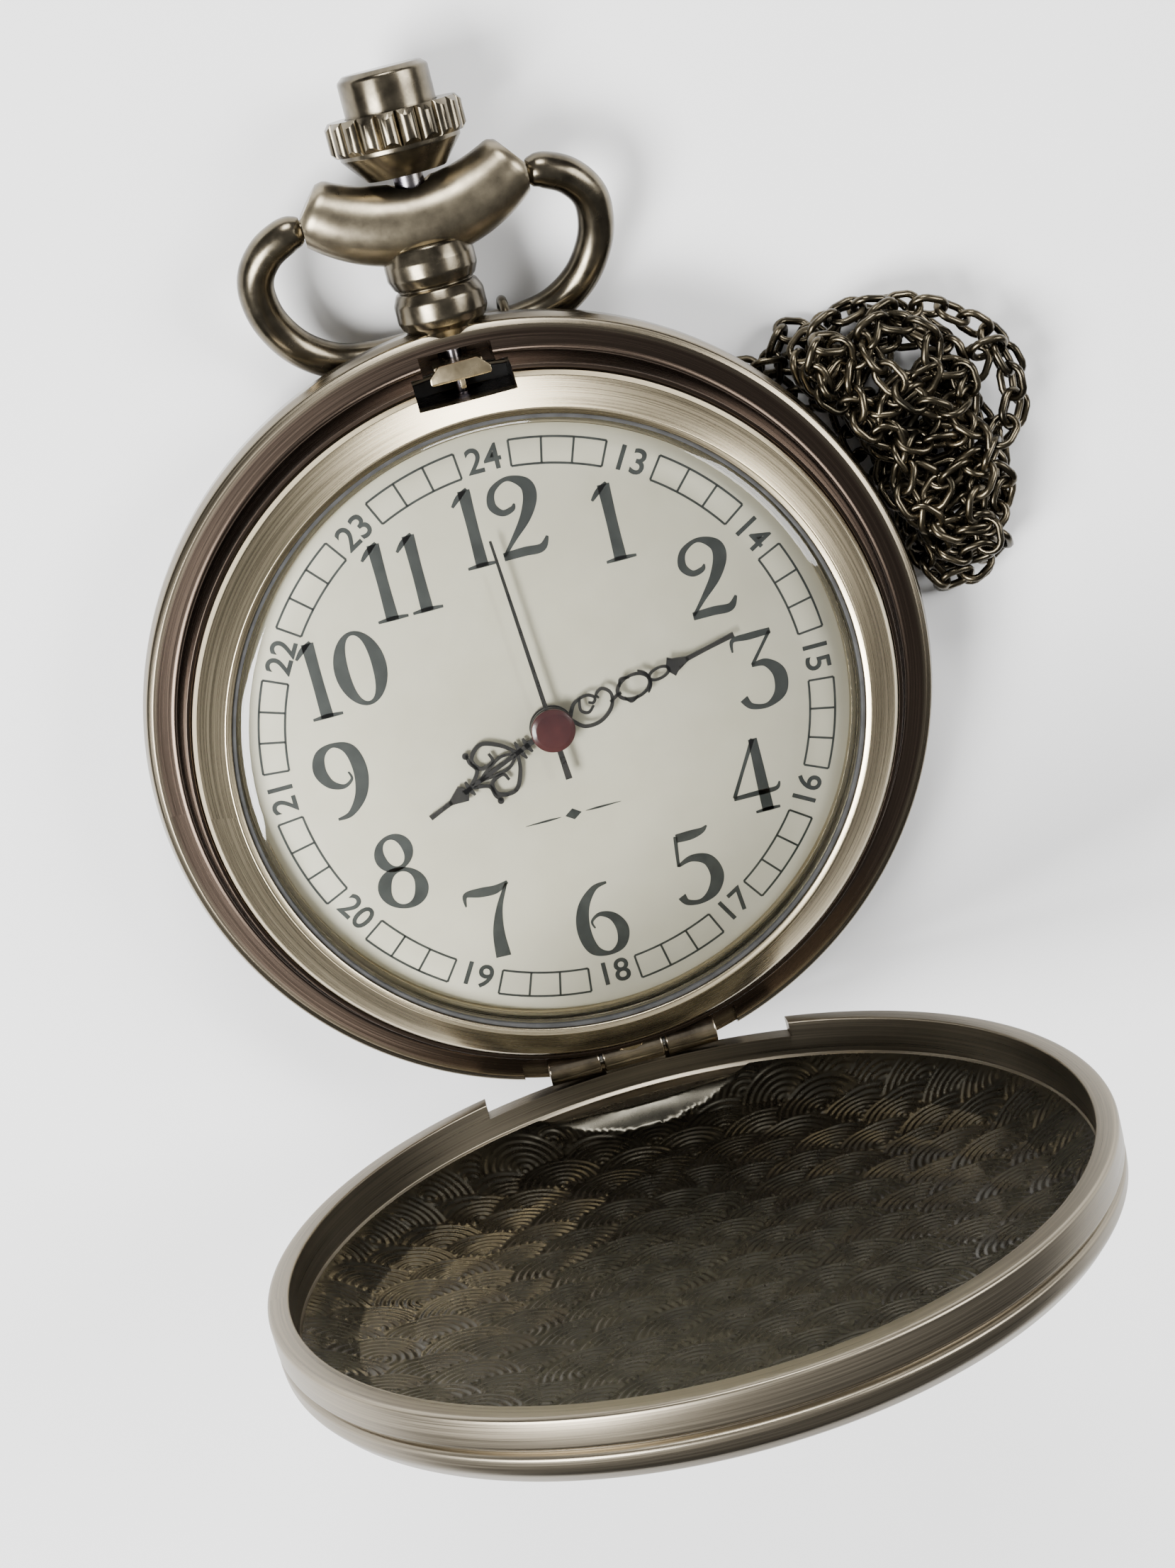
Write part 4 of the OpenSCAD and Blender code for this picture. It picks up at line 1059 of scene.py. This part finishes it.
def dress_cad_nodes(mats):
    """CAD nodes that stay as they are: the movement's pieces and seals."""
    looks = {"steel": ["bridge_screws", "stator", "quartz_can", "battery", "minute_wheel_stud",
                       "sliding_pinion", "setting_lever", "cannon_pinion", "rotor"],
             "dark_steel": ["crown_cross_pin", "setting_stem", "push_tube"],
             "brass": ["main_plate", "train_bridge", "battery_strap", "seconds_wheel", "centre_wheel",
                       "hour_wheel", "minute_wheel", "third_wheel", "intermediate_wheel"],
             "plastic": ["movement_ring"], "copper": ["coil"], "board": ["circuit_board"],
             "resin": ["driver_chip"], "rubber": ["back_gasket"]}
    for look, names in looks.items():
        for name in names:
            obj = frame["nodes"][name]
            obj.data.materials.clear()
            obj.data.materials.append(mats[look])


# ---------------------------------------------------------------- stage
FLOOR_HALF, FLOOR_LEVEL = 1200, -0.2


def make_stage(mats):
    corners = [(x * FLOOR_HALF, y * FLOOR_HALF, FLOOR_LEVEL) for x, y in ((-1, -1), (1, -1), (1, 1), (-1, 1))]
    mesh = bpy.data.meshes.new("floor")
    mesh.from_pydata([Vector(c) * MM for c in corners], [], [(0, 1, 2, 3)])
    mesh.materials.append(mats["floor"])
    floor = bpy.data.objects.new("floor", mesh)
    bpy.context.scene.collection.objects.link(floor)
    world = bpy.data.worlds.new("studio")
    world.use_nodes = True
    bpy.context.scene.world = world
    tree = world.node_tree
    back = tree.nodes["Background"]
    coord = tree.nodes.new("ShaderNodeTexCoord")
    parts = tree.nodes.new("ShaderNodeSeparateXYZ")
    ramp = tree.nodes.new("ShaderNodeValToRGB")
    tree.links.new(coord.outputs["Generated"], parts.inputs["Vector"])
    tree.links.new(parts.outputs["Z"], ramp.inputs["Fac"])
    tree.links.new(ramp.outputs["Color"], back.inputs["Color"])
    ramp.color_ramp.elements[0].position = 0.0
    ramp.color_ramp.elements[0].color = (0.16, 0.155, 0.15, 1)
    ramp.color_ramp.elements[1].position = 1.0
    ramp.color_ramp.elements[1].color = (0.55, 0.55, 0.55, 1)
    back.inputs["Strength"].default_value = 0.6
    lights = [("key", (-0.30, -0.06, 0.36), 0.20, 6.5), ("fill", (0.40, 0.10, 0.34), 0.24, 3.0),
              ("back", (0.02, 0.46, 0.30), 0.20, 3.0)]
    for name, place, size, power in lights:
        data = bpy.data.lights.new(name, "AREA")
        data.energy = power
        data.size = size
        light = bpy.data.objects.new(name, data)
        light.location = place
        light.rotation_euler = (Vector((0, 0, 0.01)) - Vector(place)).to_track_quat("-Z", "Y").to_euler()
        bpy.context.scene.collection.objects.link(light)


make_camera()
mats = make_materials()
make_chain(mats)
make_case(mats)
make_bezel(mats)
make_crystal(mats)
make_dial(mats)
make_hands(mats)
make_pendant(mats)
make_crown(mats)
make_bow(mats)
make_cover(mats)
make_small_parts(mats)
dress_cad_nodes(mats)
make_stage(mats)
